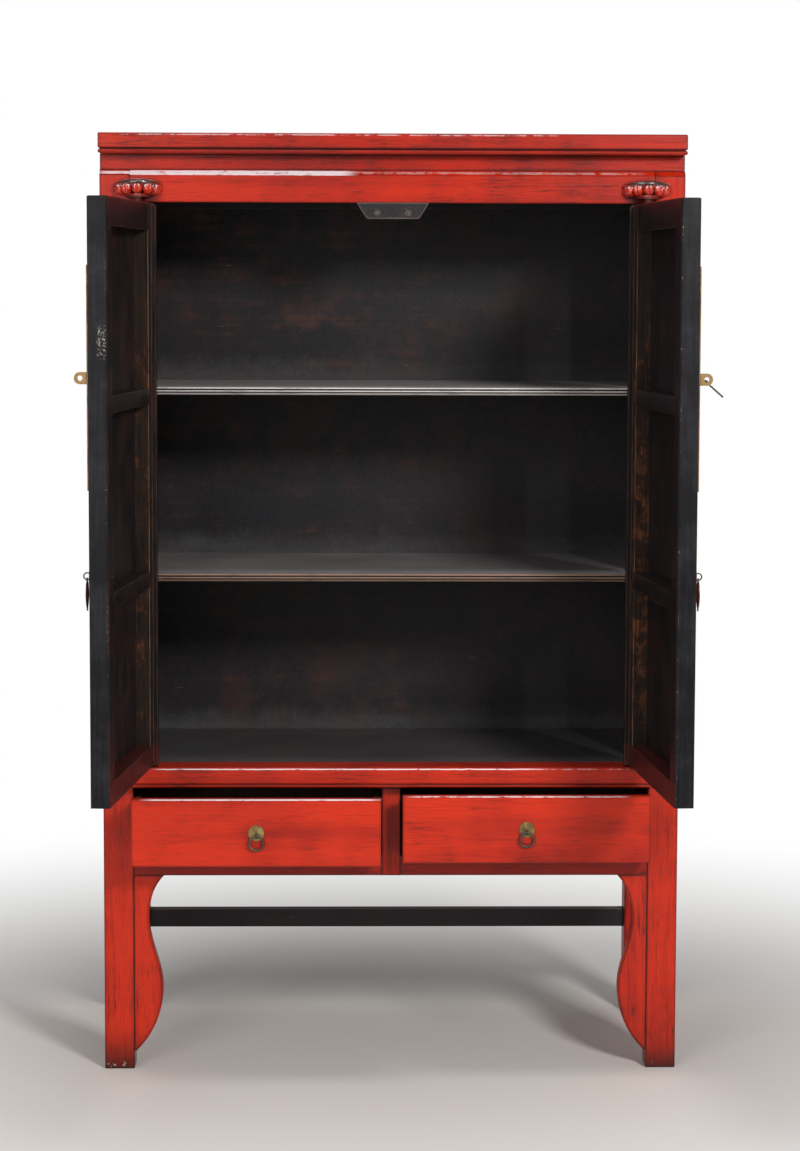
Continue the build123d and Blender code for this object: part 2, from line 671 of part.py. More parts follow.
def make_drawer_runners():
    """Strips behind the lower rail that carry the drawers, with guides beside them."""
    y_span = (FRONT + FRONT_RAIL_DEPTH, BACK - SIDE_RAIL_DEPTH)
    clear_y = INNER_Y - SHELF_FIT
    top = LOWER_RAIL_TOP
    plane = Plane.XY.offset(top - RUNNER_HEIGHT)
    guide_x = DRAWER_OUTER_X + GUIDE_GAP
    wall_x = WIDTH / 2 - SIDE_RAIL_DEPTH
    centre_x = DRAWER_INNER_X - GUIDE_GAP
    with BuildPart() as drawer_runners:
        slab(plane, (guide_x - RUNNER_WIDTH, INNER_X - SHELF_FIT), y_span, RUNNER_HEIGHT)
        slab(plane, (guide_x - RUNNER_WIDTH, wall_x), (-clear_y, clear_y), RUNNER_HEIGHT)
        slab(Plane.XY.offset(top), (guide_x, wall_x), (-clear_y, clear_y), GUIDE_HEIGHT)
        mirror(about=Plane.YZ)
        slab(plane, (-centre_x - RUNNER_WIDTH, centre_x + RUNNER_WIDTH), y_span, RUNNER_HEIGHT)
        slab(Plane.XY.offset(top), (-centre_x, centre_x), y_span, GUIDE_HEIGHT)
    save(drawer_runners, "drawer_runners")


def make_spandrels():
    with BuildPart() as front_spandrels:
        outline = spandrel_outline(front_plane(FRONT), INNER_X, -1)
        extrude(outline, amount=-SPANDREL_THICKNESS)
        curve = front_spandrels.edges().filter_by(GeomType.BSPLINE).sort_by(Axis.Y)[0]
        chamfer(curve, SPANDREL_BEVEL)
        mirror(about=Plane.YZ)
    save(front_spandrels, "front_spandrels")

    with BuildPart() as side_spandrels:
        outline = spandrel_outline(Plane.YZ.offset(WIDTH / 2), INNER_Y, -1)
        extrude(outline, amount=-SPANDREL_THICKNESS)
        curve = side_spandrels.edges().filter_by(GeomType.BSPLINE).sort_by(Axis.X)[-1]
        chamfer(curve, SPANDREL_BEVEL)
        mirror(about=Plane.XZ)
        mirror(about=Plane.YZ)
    save(side_spandrels, "side_spandrels")


# ---- Lotus blocks and door stop -----------------------------------------------------------------------
def make_lotus_blocks():
    """Carved half-round block on each end of the top rail: a bowl ringed by petals under a cap."""
    cap_bottom = LOTUS_TOP - LOTUS_CAP
    ring_x = LOTUS_WIDTH / 2 - LOTUS_PETAL_RADIUS - LOTUS_CAP_LIP
    ring_y = LOTUS_DEPTH - LOTUS_PETAL_RADIUS - LOTUS_CAP_LIP
    collar_y = FRONT - PIVOT_Y + PIVOT_RADIUS + LOTUS_WALL
    petal_bottom = LOTUS_BOTTOM + LOTUS_COLLAR_HEIGHT
    petal_swell = petal_bottom + (cap_bottom - petal_bottom) * LOTUS_SWELL
    petal_top = cap_bottom + LOTUS_CAP_LIP  # let into the cap

    with BuildPart() as petal:
        with BuildSketch(Plane.XZ):
            with BuildLine():
                Spline(
                    (0, petal_bottom),
                    (LOTUS_PETAL_RADIUS, petal_swell),
                    (LOTUS_PETAL_RADIUS / 2, petal_top),
                    tangents=((1, LOTUS_FOOT_SLOPE), (0, 1), (-1, LOTUS_TIP_SLOPE)),
                )
                Polyline((LOTUS_PETAL_RADIUS / 2, petal_top), (0, petal_top), (0, petal_bottom))
            make_face()
        revolve(axis=Axis.Z)

    with BuildPart() as lotus_blocks:
        # Bowl from the collar round the pivot up to the cap
        with BuildSketch(Plane.XY.offset(LOTUS_BOTTOM)) as collar:
            with Locations((-PIVOT_X, FRONT)):
                Ellipse(LOTUS_COLLAR / 2, collar_y)
        extrude(collar.sketch, amount=LOTUS_COLLAR_HEIGHT)
        with BuildSketch(Plane.XY.offset(petal_bottom)) as bowl_foot:
            with Locations((-PIVOT_X, FRONT)):
                Ellipse(LOTUS_COLLAR / 2, collar_y)
        with BuildSketch(Plane.XY.offset(cap_bottom)) as bowl_rim:
            with Locations((-PIVOT_X, FRONT)):
                Ellipse(ring_x + LOTUS_PETAL_RADIUS - LOTUS_BOWL_IN, collar_y + LOTUS_CAP_LIP)
        loft([bowl_foot.sketch, bowl_rim.sketch])
        # Petals
        beside = LOTUS_PETALS // 2
        angles = [radians(LOTUS_PETAL_STEP * turn) for turn in range(-beside, beside + 1)]
        with Locations(*[(-PIVOT_X + ring_x * sin(a), FRONT - ring_y * cos(a), 0) for a in angles]):
            add(petal.part)
        # Cap
        with BuildSketch(Plane.XY.offset(cap_bottom)) as cap:
            with Locations((-PIVOT_X, FRONT)):
                Ellipse(LOTUS_WIDTH / 2, LOTUS_DEPTH)
        extrude(cap.sketch, amount=LOTUS_CAP)
        fillet(lotus_blocks.edges().group_by(Axis.Z)[-1], LOTUS_CAP_ROUND)
        # Flat back against the rail, and the socket of the top pivot
        split(bisect_by=front_plane(FRONT), keep=Keep.TOP)
        socket = DOOR_TOP + TOP_PIVOT_LENGTH + TOP_PIVOT_ROOM - LOTUS_BOTTOM
        with Locations(Plane((-PIVOT_X, PIVOT_Y, LOTUS_BOTTOM), x_dir=(1, 0, 0), z_dir=(0, 0, -1))):
            Hole(PIVOT_RADIUS + PIVOT_FIT, depth=socket)
        mirror(about=Plane.YZ)
    save(lotus_blocks, "lotus_pivot_blocks")


def make_door_stop():
    """Tapered block under the top rail that the doors close against, with two round catches."""
    catch_height = TOP_RAIL_BOTTOM - CATCH_HEIGHT
    catch_points = ((-CATCH_SPACING / 2, catch_height), (CATCH_SPACING / 2, catch_height))
    with BuildPart() as door_stop_block:
        with BuildSketch(front_plane(FRONT)):
            with BuildLine():
                Polyline(
                    (-STOP_TOP_WIDTH / 2, TOP_RAIL_BOTTOM),
                    (STOP_TOP_WIDTH / 2, TOP_RAIL_BOTTOM),
                    (STOP_BOTTOM_WIDTH / 2, TOP_RAIL_BOTTOM - STOP_HEIGHT),
                    (-STOP_BOTTOM_WIDTH / 2, TOP_RAIL_BOTTOM - STOP_HEIGHT),
                    close=True,
                )
            make_face()
        extrude(amount=-STOP_THICKNESS)
        fillet(door_stop_block.edges().filter_by(Axis.Y).group_by(Axis.Z)[0], STOP_ROUND)
        with Locations(front_plane(FRONT).location):
            with Locations(*catch_points):
                Hole(CATCH_RADIUS + HOLE_FIT, depth=CATCH_DEPTH)
    save(door_stop_block, "door_stop_block")

    with BuildPart() as stop_catches:
        with BuildSketch(front_plane(FRONT + CATCH_RECESS)):
            with Locations(*catch_points):
                Circle(CATCH_RADIUS)
        extrude(amount=-(CATCH_DEPTH - CATCH_RECESS))
        fillet(stop_catches.edges().group_by(Axis.Y)[0], CATCH_ROUND)
    save(stop_catches, "stop_catches")


# ---- Doors ------------------------------------------------------------------------------------------
# On a door, u runs from the pivot axis to the lock edge and v from the pivot axis out of its outer
# face. The left door's u is the plan's local +X and the right door's is -X, so x = hand * u.
def door_plan(side, height):
    """Level plane on the door's pivot axis; local y runs into the cabinet when the door is shut."""
    hand, turn = DOOR_SIDES[side]
    angle = radians(turn)
    return Plane((-hand * PIVOT_X, PIVOT_Y, height), x_dir=(cos(angle), sin(angle), 0), z_dir=(0, 0, 1))


def door_face(side, out):
    """Upright plane along the door, out from its pivot axis; its normal leaves the outer face."""
    hand, turn = DOOR_SIDES[side]
    angle = radians(turn)
    plane = Plane(
        (-hand * PIVOT_X, PIVOT_Y, 0), x_dir=(cos(angle), sin(angle), 0), z_dir=(sin(angle), -cos(angle), 0)
    )
    return plane.offset(out)


def door_section(side, u):
    """Upright plane across the door at u: local x runs out of the outer face, local y up."""
    hand, turn = DOOR_SIDES[side]
    angle = radians(turn)
    origin = door_face(side, 0).from_local_coords((hand * u, 0, 0))
    return Plane(origin, x_dir=(sin(angle), -cos(angle), 0), z_dir=(-cos(angle), -sin(angle), 0))


def handed(side, low, high):
    """Limits along the door, turned to the hand of the door."""
    hand = DOOR_SIDES[side][0]
    return (hand * low, hand * high)


def door_rail_spans():
    """Height limits of the four door rails and the back-to-front limits that each fills."""
    full = (INNER_FACE, OUTER_FACE)
    behind_panel = (INNER_FACE, OUTER_FACE - DOOR_PANEL)
    return (
        ((DOOR_TOP - DOOR_TOP_RAIL, DOOR_TOP), full),
        ((UPPER_MID_RAIL, UPPER_MID_RAIL + DOOR_MID_RAIL), behind_panel),
        ((LOWER_MID_RAIL, LOWER_MID_RAIL + DOOR_MID_RAIL), behind_panel),
        ((DOOR_BOTTOM, DOOR_BOTTOM + DOOR_BOTTOM_RAIL), full),
    )


def cut_door_mortises(side, edge, direction):
    """Mortises for the rails and the groove for the panel, cut into a stile from its inner edge."""
    room = DOOR_TENON_LENGTH + TENON_END_GAP
    for span, _ in door_rail_spans():
        up = (span[0] + DOOR_TENON_SHOULDER, span[1] - DOOR_TENON_SHOULDER)
        plane = door_face(side, TENON_OUT - DOOR_TENON_THICKNESS / 2)
        slab(plane, handed(side, edge, edge + direction * room), up, DOOR_TENON_THICKNESS, Mode.SUBTRACT)
    groove = DOOR_TONGUE + 2 * PANEL_FIT
    up = (DOOR_PANEL_SPAN[0] - DOOR_GROOVE, DOOR_PANEL_SPAN[1] + DOOR_GROOVE)
    plane = door_face(side, TONGUE_OUT - groove / 2)
    slab(plane, handed(side, edge, edge + direction * DOOR_GROOVE), up, groove, Mode.SUBTRACT)


def round_top_edge(side, out, radius):
    """Round the door's top edge that lies at out; a negative radius rounds an edge of the inner side."""
    with BuildSketch(door_section(side, 0)) as corner:
        with Locations((out - radius / 2, DOOR_TOP - abs(radius) / 2)):
            Rectangle(abs(radius), abs(radius))
        with Locations((out - radius, DOOR_TOP - abs(radius))):
            Circle(abs(radius), mode=Mode.SUBTRACT)
    extrude(corner.sketch, amount=WIDTH, both=True, mode=Mode.SUBTRACT)


def make_hinge_stile(side):
    """Stile that carries the pivots, with a lip that stands beside the post when the door is shut."""
    hand = DOOR_SIDES[side][0]
    lip_edge = DOOR_LIP_WIDTH - HINGE_EDGE
    lip_face = PIVOT_TO_INNER + DOOR_LIP
    with BuildPart() as stile:
        with BuildSketch(door_plan(side, DOOR_BOTTOM)) as plan:
            with BuildLine():
                Polyline(
                    (-hand * HINGE_EDGE, lip_face),
                    (hand * lip_edge, lip_face),
                    (hand * lip_edge, PIVOT_TO_INNER),
                    (hand * HINGE_STILE_EDGE, PIVOT_TO_INNER),
                    (hand * HINGE_STILE_EDGE, -PIVOT_TO_OUTER),
                    (-hand * (HINGE_EDGE - STILE_ROUND), -PIVOT_TO_OUTER),
                )
                RadiusArc(
                    (-hand * (HINGE_EDGE - STILE_ROUND), -PIVOT_TO_OUTER),
                    (-hand * HINGE_EDGE, -PIVOT_TO_OUTER + STILE_ROUND),
                    hand * STILE_ROUND,
                )
                Line((-hand * HINGE_EDGE, -PIVOT_TO_OUTER + STILE_ROUND), (-hand * HINGE_EDGE, lip_face))
            make_face()
        extrude(plan.sketch, amount=DOOR_TOP - DOOR_BOTTOM)
        round_top_edge(side, -lip_face, -DOOR_LIP)
        round_top_edge(side, OUTER_FACE, DOOR_TOP_ROUND)
        cut_door_mortises(side, HINGE_STILE_EDGE, -1)
        with BuildSketch(door_plan(side, DOOR_BOTTOM)) as pivot:
            Circle(PIVOT_RADIUS)
        extrude(pivot.sketch, amount=-BOTTOM_PIVOT_LENGTH)
        with BuildSketch(door_plan(side, DOOR_TOP)) as pivot:
            Circle(PIVOT_RADIUS)
        extrude(pivot.sketch, amount=TOP_PIVOT_LENGTH)
        tips = stile.edges().filter_by(GeomType.CIRCLE).sort_by(Axis.Z)
        chamfer([tips[0], tips[-1]], PIVOT_ROUND)
    save(stile, f"{side}_door_hinge_stile")


def lock_slot(side, out, depth):
    """Slot for the hasp's tail, cut inwards from a plane of the door."""
    half = HASP_THICKNESS / 2 + HOLE_FIT
    half_height = HASP_HEIGHT / 2 - HASP_THICKNESS + HOLE_FIT
    across = handed(side, HASP_U - half, HASP_U + half)
    up = (LOCK_HEIGHT - half_height, LOCK_HEIGHT + half_height)
    slab(door_face(side, out), across, up, -depth, Mode.SUBTRACT)


def nail_points(side):
    """Nails round a half plate and one at each end of its straight edge."""
    hand = DOOR_SIDES[side][0]
    reach = LOCK_PLATE_RADIUS - NAIL_INSET
    step = (180 - 2 * NAIL_END_ANGLE) / (NAIL_COUNT - 1)
    angles = [radians(NAIL_END_ANGLE + step * turn) for turn in range(NAIL_COUNT)]
    return [(hand * (PIVOT_X - reach * sin(a)), LOCK_HEIGHT + reach * cos(a)) for a in angles]


def cut_nail_holes(side):
    """Holes for the plate's nails, wherever they fall in a piece of the door."""
    with Locations(door_face(side, OUTER_FACE).location):
        with Locations(*nail_points(side)):
            Hole(NAIL_SHANK_RADIUS + HOLE_FIT, depth=NAIL_SHANK)


def make_lock_stile(side):
    with BuildPart() as stile:
        slab(
            door_face(side, INNER_FACE),
            handed(side, LOCK_STILE_EDGE, LOCK_EDGE),
            (DOOR_BOTTOM, DOOR_TOP),
            PIVOT_TO_INNER + PIVOT_TO_OUTER,
        )
        corner = (DOOR_SIDES[side][0] * LOCK_EDGE, middle((DOOR_BOTTOM, DOOR_TOP)), 0)
        free_corner = door_face(side, INNER_FACE).from_local_coords(corner)
        chamfer(stile.edges().filter_by(Axis.Z).sort_by_distance(free_corner)[0], LOCK_EDGE_BEVEL)
        round_top_edge(side, OUTER_FACE, DOOR_TOP_ROUND)
        cut_door_mortises(side, LOCK_STILE_EDGE, 1)
        lock_slot(side, OUTER_FACE, HASP_TAIL + TENON_END_GAP)
        cut_nail_holes(side)
        with Locations(door_face(side, OUTER_FACE).location):
            with Locations(pull_point(side)):
                Hole(PULL_WIRE + HOLE_FIT)
    save(stile, f"{side}_door_lock_stile")


def make_door_rails(side):
    """Top, bottom and two middle rails, tenoned into the stiles; the outer two hold the panel."""
    with BuildPart() as rails:
        across = handed(side, HINGE_STILE_EDGE, LOCK_STILE_EDGE)
        tenons = handed(side, HINGE_STILE_EDGE - DOOR_TENON_LENGTH, LOCK_STILE_EDGE + DOOR_TENON_LENGTH)
        thickness = DOOR_TENON_THICKNESS - 2 * TENON_SIDE_FIT
        set_in = DOOR_TENON_SHOULDER + TENON_SIDE_FIT
        for span, out in door_rail_spans():
            slab(door_face(side, out[0]), across, span, length(out))
            tenon_up = (span[0] + set_in, span[1] - set_in)
            slab(door_face(side, TENON_OUT - thickness / 2), tenons, tenon_up, thickness)
        groove = DOOR_TONGUE + 2 * PANEL_FIT
        up = (DOOR_PANEL_SPAN[0] - DOOR_GROOVE, DOOR_PANEL_SPAN[1] + DOOR_GROOVE)
        slab(door_face(side, TONGUE_OUT - groove / 2), across, up, groove, Mode.SUBTRACT)
        round_top_edge(side, OUTER_FACE, DOOR_TOP_ROUND)
        cut_nail_holes(side)
    save(rails, f"{side}_door_rails")


def make_door_panel(side):
    """Thin panel flush with the door's outer face, with a tongue all round."""
    across = handed(side, HINGE_STILE_EDGE, LOCK_STILE_EDGE)
    tongue = DOOR_TONGUE_LENGTH
    tongue_across = handed(side, HINGE_STILE_EDGE - tongue, LOCK_STILE_EDGE + tongue)
    tongue_up = (DOOR_PANEL_SPAN[0] - tongue, DOOR_PANEL_SPAN[1] + tongue)
    with BuildPart() as panel:
        slab(door_face(side, OUTER_FACE - DOOR_PANEL), across, DOOR_PANEL_SPAN, DOOR_PANEL)
        slab(door_face(side, TONGUE_OUT - DOOR_TONGUE / 2), tongue_across, tongue_up, DOOR_TONGUE)
        cut_nail_holes(side)
    save(panel, f"{side}_door_panel")


def make_lock_plate(side):
    """Half of the round brass plate, the nails that hold it and the hasp that stands out of it."""
    hand = DOOR_SIDES[side][0]
    with BuildPart() as disc:
        with BuildSketch(Plane.XZ):
            with BuildLine():
                Polyline(
                    (LOCK_PLATE_RADIUS - SHEET_ROUND, SHEET),
                    (0, SHEET),
                    (0, 0),
                    (LOCK_PLATE_RADIUS, 0),
                    (LOCK_PLATE_RADIUS, SHEET - SHEET_ROUND),
                    close=True,
                )
            make_face()
        revolve(axis=Axis.Z)
    with BuildPart() as plate:
        with Locations(door_face(side, OUTER_FACE).location):
            with Locations((hand * PIVOT_X, LOCK_HEIGHT)):
                add(disc.part)
        slab(
            door_face(side, OUTER_FACE),
            handed(side, LOCK_EDGE - LOCK_PLATE_RADIUS, LOCK_EDGE),
            (LOCK_HEIGHT - LOCK_PLATE_RADIUS, LOCK_HEIGHT + LOCK_PLATE_RADIUS),
            SHEET,
            Mode.INTERSECT,
        )
        lock_slot(side, OUTER_FACE + SHEET, SHEET)
        with Locations(door_face(side, OUTER_FACE + SHEET).location):
            with Locations(*nail_points(side)):
                Hole(NAIL_SHANK_RADIUS + HOLE_FIT)
    save(plate, f"{side}_lock_plate")

    dome_radius = (NAIL_RADIUS**2 + NAIL_DOME**2) / (2 * NAIL_DOME)
    with BuildPart() as nail:
        with BuildSketch(Plane.XZ):
            with BuildLine():
                Polyline(
                    (0, NAIL_DOME),
                    (0, -NAIL_SHANK),
                    (NAIL_SHANK_RADIUS, -NAIL_SHANK),
                    (NAIL_SHANK_RADIUS, 0),
                    (NAIL_RADIUS, 0),
                )
                RadiusArc((NAIL_RADIUS, 0), (0, NAIL_DOME), -dome_radius)
            make_face()
        revolve(axis=Axis.Z)
    with BuildPart() as nails:
        with Locations(door_face(side, OUTER_FACE + SHEET).location):
            with Locations(*nail_points(side)):
                add(nail.part)
    save(nails, f"{side}_plate_nails")

    face = OUTER_FACE + SHEET
    round_centre = face + HASP_REACH - HASP_HEIGHT / 2
    with BuildPart() as hasp:
        with BuildSketch(door_section(side, HASP_U)) as tab:
            with Locations((middle((face, round_centre)), LOCK_HEIGHT)):
                Rectangle(round_centre - face, HASP_HEIGHT)
            with Locations((face - (SHEET + HASP_TAIL) / 2, LOCK_HEIGHT)):
                Rectangle(SHEET + HASP_TAIL, HASP_HEIGHT - 2 * HASP_THICKNESS)
            with Locations((round_centre, LOCK_HEIGHT)):
                Circle(HASP_HEIGHT / 2)
                Circle(HASP_HOLE_RADIUS, mode=Mode.SUBTRACT)
        extrude(tab.sketch, amount=HASP_THICKNESS / 2, both=True)
    save(hasp, f"{side}_hasp")


def make_lock_pin():
    """Bent iron pin parked in the right hasp; pushed towards the middle it locks both hasps."""
    side = "right"
    hand = DOOR_SIDES[side][0]
    out = OUTER_FACE + SHEET + HASP_REACH - HASP_HEIGHT / 2
    height = LOCK_HEIGHT - (HASP_HOLE_RADIUS - PIN_RADIUS - PIN_SEAT_GAP)
    tip = HASP_U + HASP_THICKNESS / 2 + PIN_TIP
    bend = HASP_U - HASP_THICKNESS / 2 - PIN_TRAVEL - 2 * PIN_RADIUS
    droop = radians(PIN_DROOP)
    points = (
        (hand * tip, height, out),
        (hand * bend, height, out),
        (hand * bend, height - PIN_HANDLE * sin(droop), out + PIN_HANDLE * cos(droop)),
    )
    route = [door_face(side, 0).from_local_coords(point) for point in points]
    with BuildPart() as lock_pin:
        with BuildLine() as path:
            FilletPolyline(*route, radius=2 * PIN_RADIUS)
        with BuildSketch(Plane(path.line @ 0, z_dir=path.line % 0)):
            Circle(PIN_RADIUS)
        sweep()
        fillet(lock_pin.edges().filter_by(GeomType.CIRCLE).sort_by_distance(route[0])[0], PIN_RADIUS / 2)
    save(lock_pin, "lock_pin")


def pull_point(side):
    """Middle of the door pull on the door's outer face."""
    return (DOOR_SIDES[side][0] * (LOCK_EDGE - PULL_FROM_EDGE), PULL_HEIGHT)


def make_door_pull(side):
    """Bevelled back plate, wire loop through the stile, and the leaf-shaped drop that swings on it."""
    loop_out = SHEET + PULL_LOOP_CLEARANCE + PULL_LOOP_RADIUS + PULL_WIRE
    face = door_face(side, OUTER_FACE).location
    with BuildPart() as disc:
        with BuildSketch(Plane.XZ):
            with BuildLine():
                Polyline(
                    (PULL_PLATE_RADIUS - PULL_PLATE_BEVEL, SHEET),
                    (0, SHEET),
                    (0, 0),
                    (PULL_PLATE_RADIUS, 0),
                    (PULL_PLATE_RADIUS, SHEET / 2),
                    close=True,
                )
            make_face()
        revolve(axis=Axis.Z)
        Hole(PULL_WIRE + HOLE_FIT)
    with BuildPart() as pull_plate:
        with Locations(face):
            with Locations(pull_point(side)):
                add(disc.part)
    save(pull_plate, f"{side}_pull_plate")

    with BuildPart() as staple:
        with Locations((0, 0, loop_out)):
            Torus(PULL_LOOP_RADIUS, PULL_WIRE, rotation=(0, 90, 0))
        with BuildSketch(Plane.XY.offset(loop_out - PULL_LOOP_RADIUS)) as shank:
            Circle(PULL_WIRE)
        inner = INNER_FACE - OUTER_FACE - PULL_WIRE
        extrude(shank.sketch, amount=inner - loop_out + PULL_LOOP_RADIUS)
        with Locations((0, 0, inner)):
            Cylinder(PULL_WIRE, 2 * STAPLE_LEG, rotation=(0, 90, 0))
    with BuildPart() as pull_staple:
        with Locations(face):
            with Locations(pull_point(side)):
                add(staple.part)
    save(pull_staple, f"{side}_pull_staple")

    hole_height = -PULL_LOOP_RADIUS - (DROP_HOLE - PULL_WIRE - DROP_SEAT_GAP)
    leaf_top = hole_height + DROP_NECK / 2
    leaf_bottom = hole_height + DROP_NECK - DROP_LENGTH + DROP_KNOB
    with BuildPart() as leaf:
        with BuildSketch(Plane.XY.offset(loop_out - DROP_THICKNESS / 2)) as outline:
            with BuildLine():
                SagittaArc((0, leaf_top), (0, leaf_bottom), DROP_WIDTH / 2)
                SagittaArc((0, leaf_bottom), (0, leaf_top), DROP_WIDTH / 2)
            make_face()
            with Locations((0, hole_height)):
                Circle(DROP_NECK)
            with Locations((0, leaf_bottom)):
                Circle(DROP_KNOB)
        extrude(outline.sketch, amount=DROP_THICKNESS)
        rims = leaf.edges().group_by(Axis.Z)
        chamfer([edge for edge in rims[0] + rims[-1] if edge.length > DROP_LENGTH / 2], DROP_BEVEL)
        with Locations((0, hole_height, loop_out)):
            Hole(DROP_HOLE)
    with BuildPart() as pull_drop:
        with Locations(face):
            with Locations(pull_point(side)):
                add(leaf.part)
    save(pull_drop, f"{side}_pull_drop")


# ---- Drawers ------------------------------------------------------------------------------------------
def make_drawer(side):
    hand, out = DRAWER_SIDES[side]
    face_y = FRONT - out
    box_front = face_y + DRAWER_FRONT
    box_back = box_front + DRAWER_LENGTH
    x_span = sorted((hand * DRAWER_INNER_X, hand * DRAWER_OUTER_X))
    inside_x = (x_span[0] + DRAWER_BOARD, x_span[1] - DRAWER_BOARD)
    bottom = DRAWER_BASE + DRAWER_BOTTOM_RAISE
    groove_height = DRAWER_BOTTOM_BOARD + DRAWER_REAR_BOTTOM_GAP
    groove_x = (inside_x[0] - DRAWER_GROOVE, inside_x[1] + DRAWER_GROOVE)
    groove_y = (box_front - DRAWER_GROOVE, box_back - DRAWER_BOARD + DRAWER_GROOVE)
    eye = (hand * DRAWER_MIDDLE_X, middle(DRAWER_FRONT_SPAN) - EYE_DROP)
    shank_radius = EYE_WIRE + HOLE_FIT
    with BuildPart() as drawer_front:
        slab(front_plane(face_y), x_span, DRAWER_FRONT_SPAN, -DRAWER_FRONT)
        fillet(drawer_front.faces().sort_by(Axis.Y)[0].edges(), DRAWER_FRONT_ROUND)
        slab(Plane.XY.offset(bottom), groove_x, groove_y, groove_height, Mode.SUBTRACT)
        with Locations(front_plane(face_y).location):
            with Locations(eye):
                Hole(shank_radius)
    save(drawer_front, f"{side}_drawer_front")

    with BuildPart() as box:
        base = Plane.XY.offset(DRAWER_BASE)
        slab(base, (x_span[0], inside_x[0]), (box_front, box_back), DRAWER_BOX_HEIGHT)
        slab(base, (inside_x[1], x_span[1]), (box_front, box_back), DRAWER_BOX_HEIGHT)
        back_x = (inside_x[0] + HAIRLINE, inside_x[1] - HAIRLINE)
        slab(base, back_x, (box_back - DRAWER_BOARD, box_back), DRAWER_BOX_HEIGHT)
        slab(Plane.XY.offset(bottom), groove_x, groove_y, groove_height, Mode.SUBTRACT)
    save(box, f"{side}_drawer_box")

    with BuildPart() as drawer_bottom:
        board_x = (groove_x[0] + PANEL_FIT, groove_x[1] - PANEL_FIT)
        board_y = (groove_y[0] + PANEL_FIT, groove_y[1] - PANEL_FIT)
        slab(Plane.XY.offset(bottom), board_x, board_y, DRAWER_BOTTOM_BOARD)
    save(drawer_bottom, f"{side}_drawer_bottom")

    plate_centre = (eye[0], eye[1] + EYE_DROP)
    with BuildPart() as ring_plate:
        with BuildSketch(front_plane(face_y)) as disc:
            with Locations(plate_centre):
                Circle(RING_PLATE_RADIUS)
        extrude(disc.sketch, amount=SHEET)
        chamfer(ring_plate.edges().group_by(Axis.Y)[0], SHEET_ROUND)
        with Locations(front_plane(face_y - SHEET).location):
            with Locations(eye):
                Hole(shank_radius)
    save(ring_plate, f"{side}_ring_plate")

    eye_radius = RING_WIRE + RING_EYE_FIT + EYE_WIRE
    eye_out = SHEET + EYE_STANDOFF + eye_radius + EYE_WIRE
    with BuildPart() as staple:
        with Locations((0, 0, eye_out)):
            Torus(eye_radius, EYE_WIRE, rotation=(0, 90, 0))
        with BuildSketch(Plane.XY.offset(eye_out - eye_radius)) as shank:
            Circle(EYE_WIRE)
        inner = -DRAWER_FRONT - STAPLE_LEG_RADIUS
        extrude(shank.sketch, amount=inner - eye_out + eye_radius)
        with Locations((0, 0, inner)):
            Cylinder(STAPLE_LEG_RADIUS, 2 * STAPLE_LEG, rotation=(0, 90, 0))
    with BuildPart() as ring_staple:
        with Locations(front_plane(face_y).location):
            with Locations(eye):
                add(staple.part)
    save(ring_staple, f"{side}_ring_staple")

    with BuildPart() as pull_ring:
        with Locations(front_plane(face_y - eye_out).location):
            with Locations((eye[0], eye[1] - RING_RADIUS)):
                Torus(RING_RADIUS, RING_WIRE)
    save(pull_ring, f"{side}_pull_ring")


make_post("front_left_post", -1, -1)
make_post("front_right_post", 1, -1)
make_post("back_left_post", -1, 1)
make_post("back_right_post", 1, 1)
make_front_rails()
make_drawer_divider()
make_side_and_back_rails()
make_panels()
make_frieze()
make_cornice()
make_sill()
make_deck_and_shelves()
make_drawer_runners()
make_spandrels()
make_lotus_blocks()
make_door_stop()
for door in DOOR_SIDES:
    make_hinge_stile(door)
    make_lock_stile(door)
    make_door_rails(door)
    make_door_panel(door)
    make_lock_plate(door)
    make_door_pull(door)
make_lock_pin()
for drawer in DRAWER_SIDES:
    make_drawer(drawer)
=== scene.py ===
"""Chinese wedding cabinet: lacquer, brass and iron finishes, carved lotus blocks, stage and camera."""

import json
from math import cos, pi, radians, sin

import bpy
from mathutils import Matrix, Vector


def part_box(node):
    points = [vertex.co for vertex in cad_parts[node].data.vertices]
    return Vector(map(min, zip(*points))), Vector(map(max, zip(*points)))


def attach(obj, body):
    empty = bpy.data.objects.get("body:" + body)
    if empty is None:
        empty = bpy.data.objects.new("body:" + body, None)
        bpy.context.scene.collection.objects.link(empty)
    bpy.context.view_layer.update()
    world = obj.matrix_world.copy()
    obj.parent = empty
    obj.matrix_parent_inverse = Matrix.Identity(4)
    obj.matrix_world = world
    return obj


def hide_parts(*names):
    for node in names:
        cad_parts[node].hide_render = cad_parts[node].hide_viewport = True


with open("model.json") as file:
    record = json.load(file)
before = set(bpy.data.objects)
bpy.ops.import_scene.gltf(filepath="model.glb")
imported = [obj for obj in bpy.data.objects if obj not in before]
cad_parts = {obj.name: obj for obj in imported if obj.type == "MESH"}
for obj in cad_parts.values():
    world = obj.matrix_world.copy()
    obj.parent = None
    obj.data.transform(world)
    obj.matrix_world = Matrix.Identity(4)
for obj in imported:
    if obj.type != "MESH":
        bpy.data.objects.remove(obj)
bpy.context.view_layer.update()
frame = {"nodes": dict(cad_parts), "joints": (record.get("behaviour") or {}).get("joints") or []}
NODES = frame["nodes"]

bl_info = {
    "name": "Wedding Cabinet",
    "version": (1, 0, 0),
    "blender": (4, 5, 0),
    "location": "View3D > Sidebar > Cabinet",
    "description": "Finishes a lacquered wedding cabinet and sets it on a studio floor",
    "category": "Object",
}

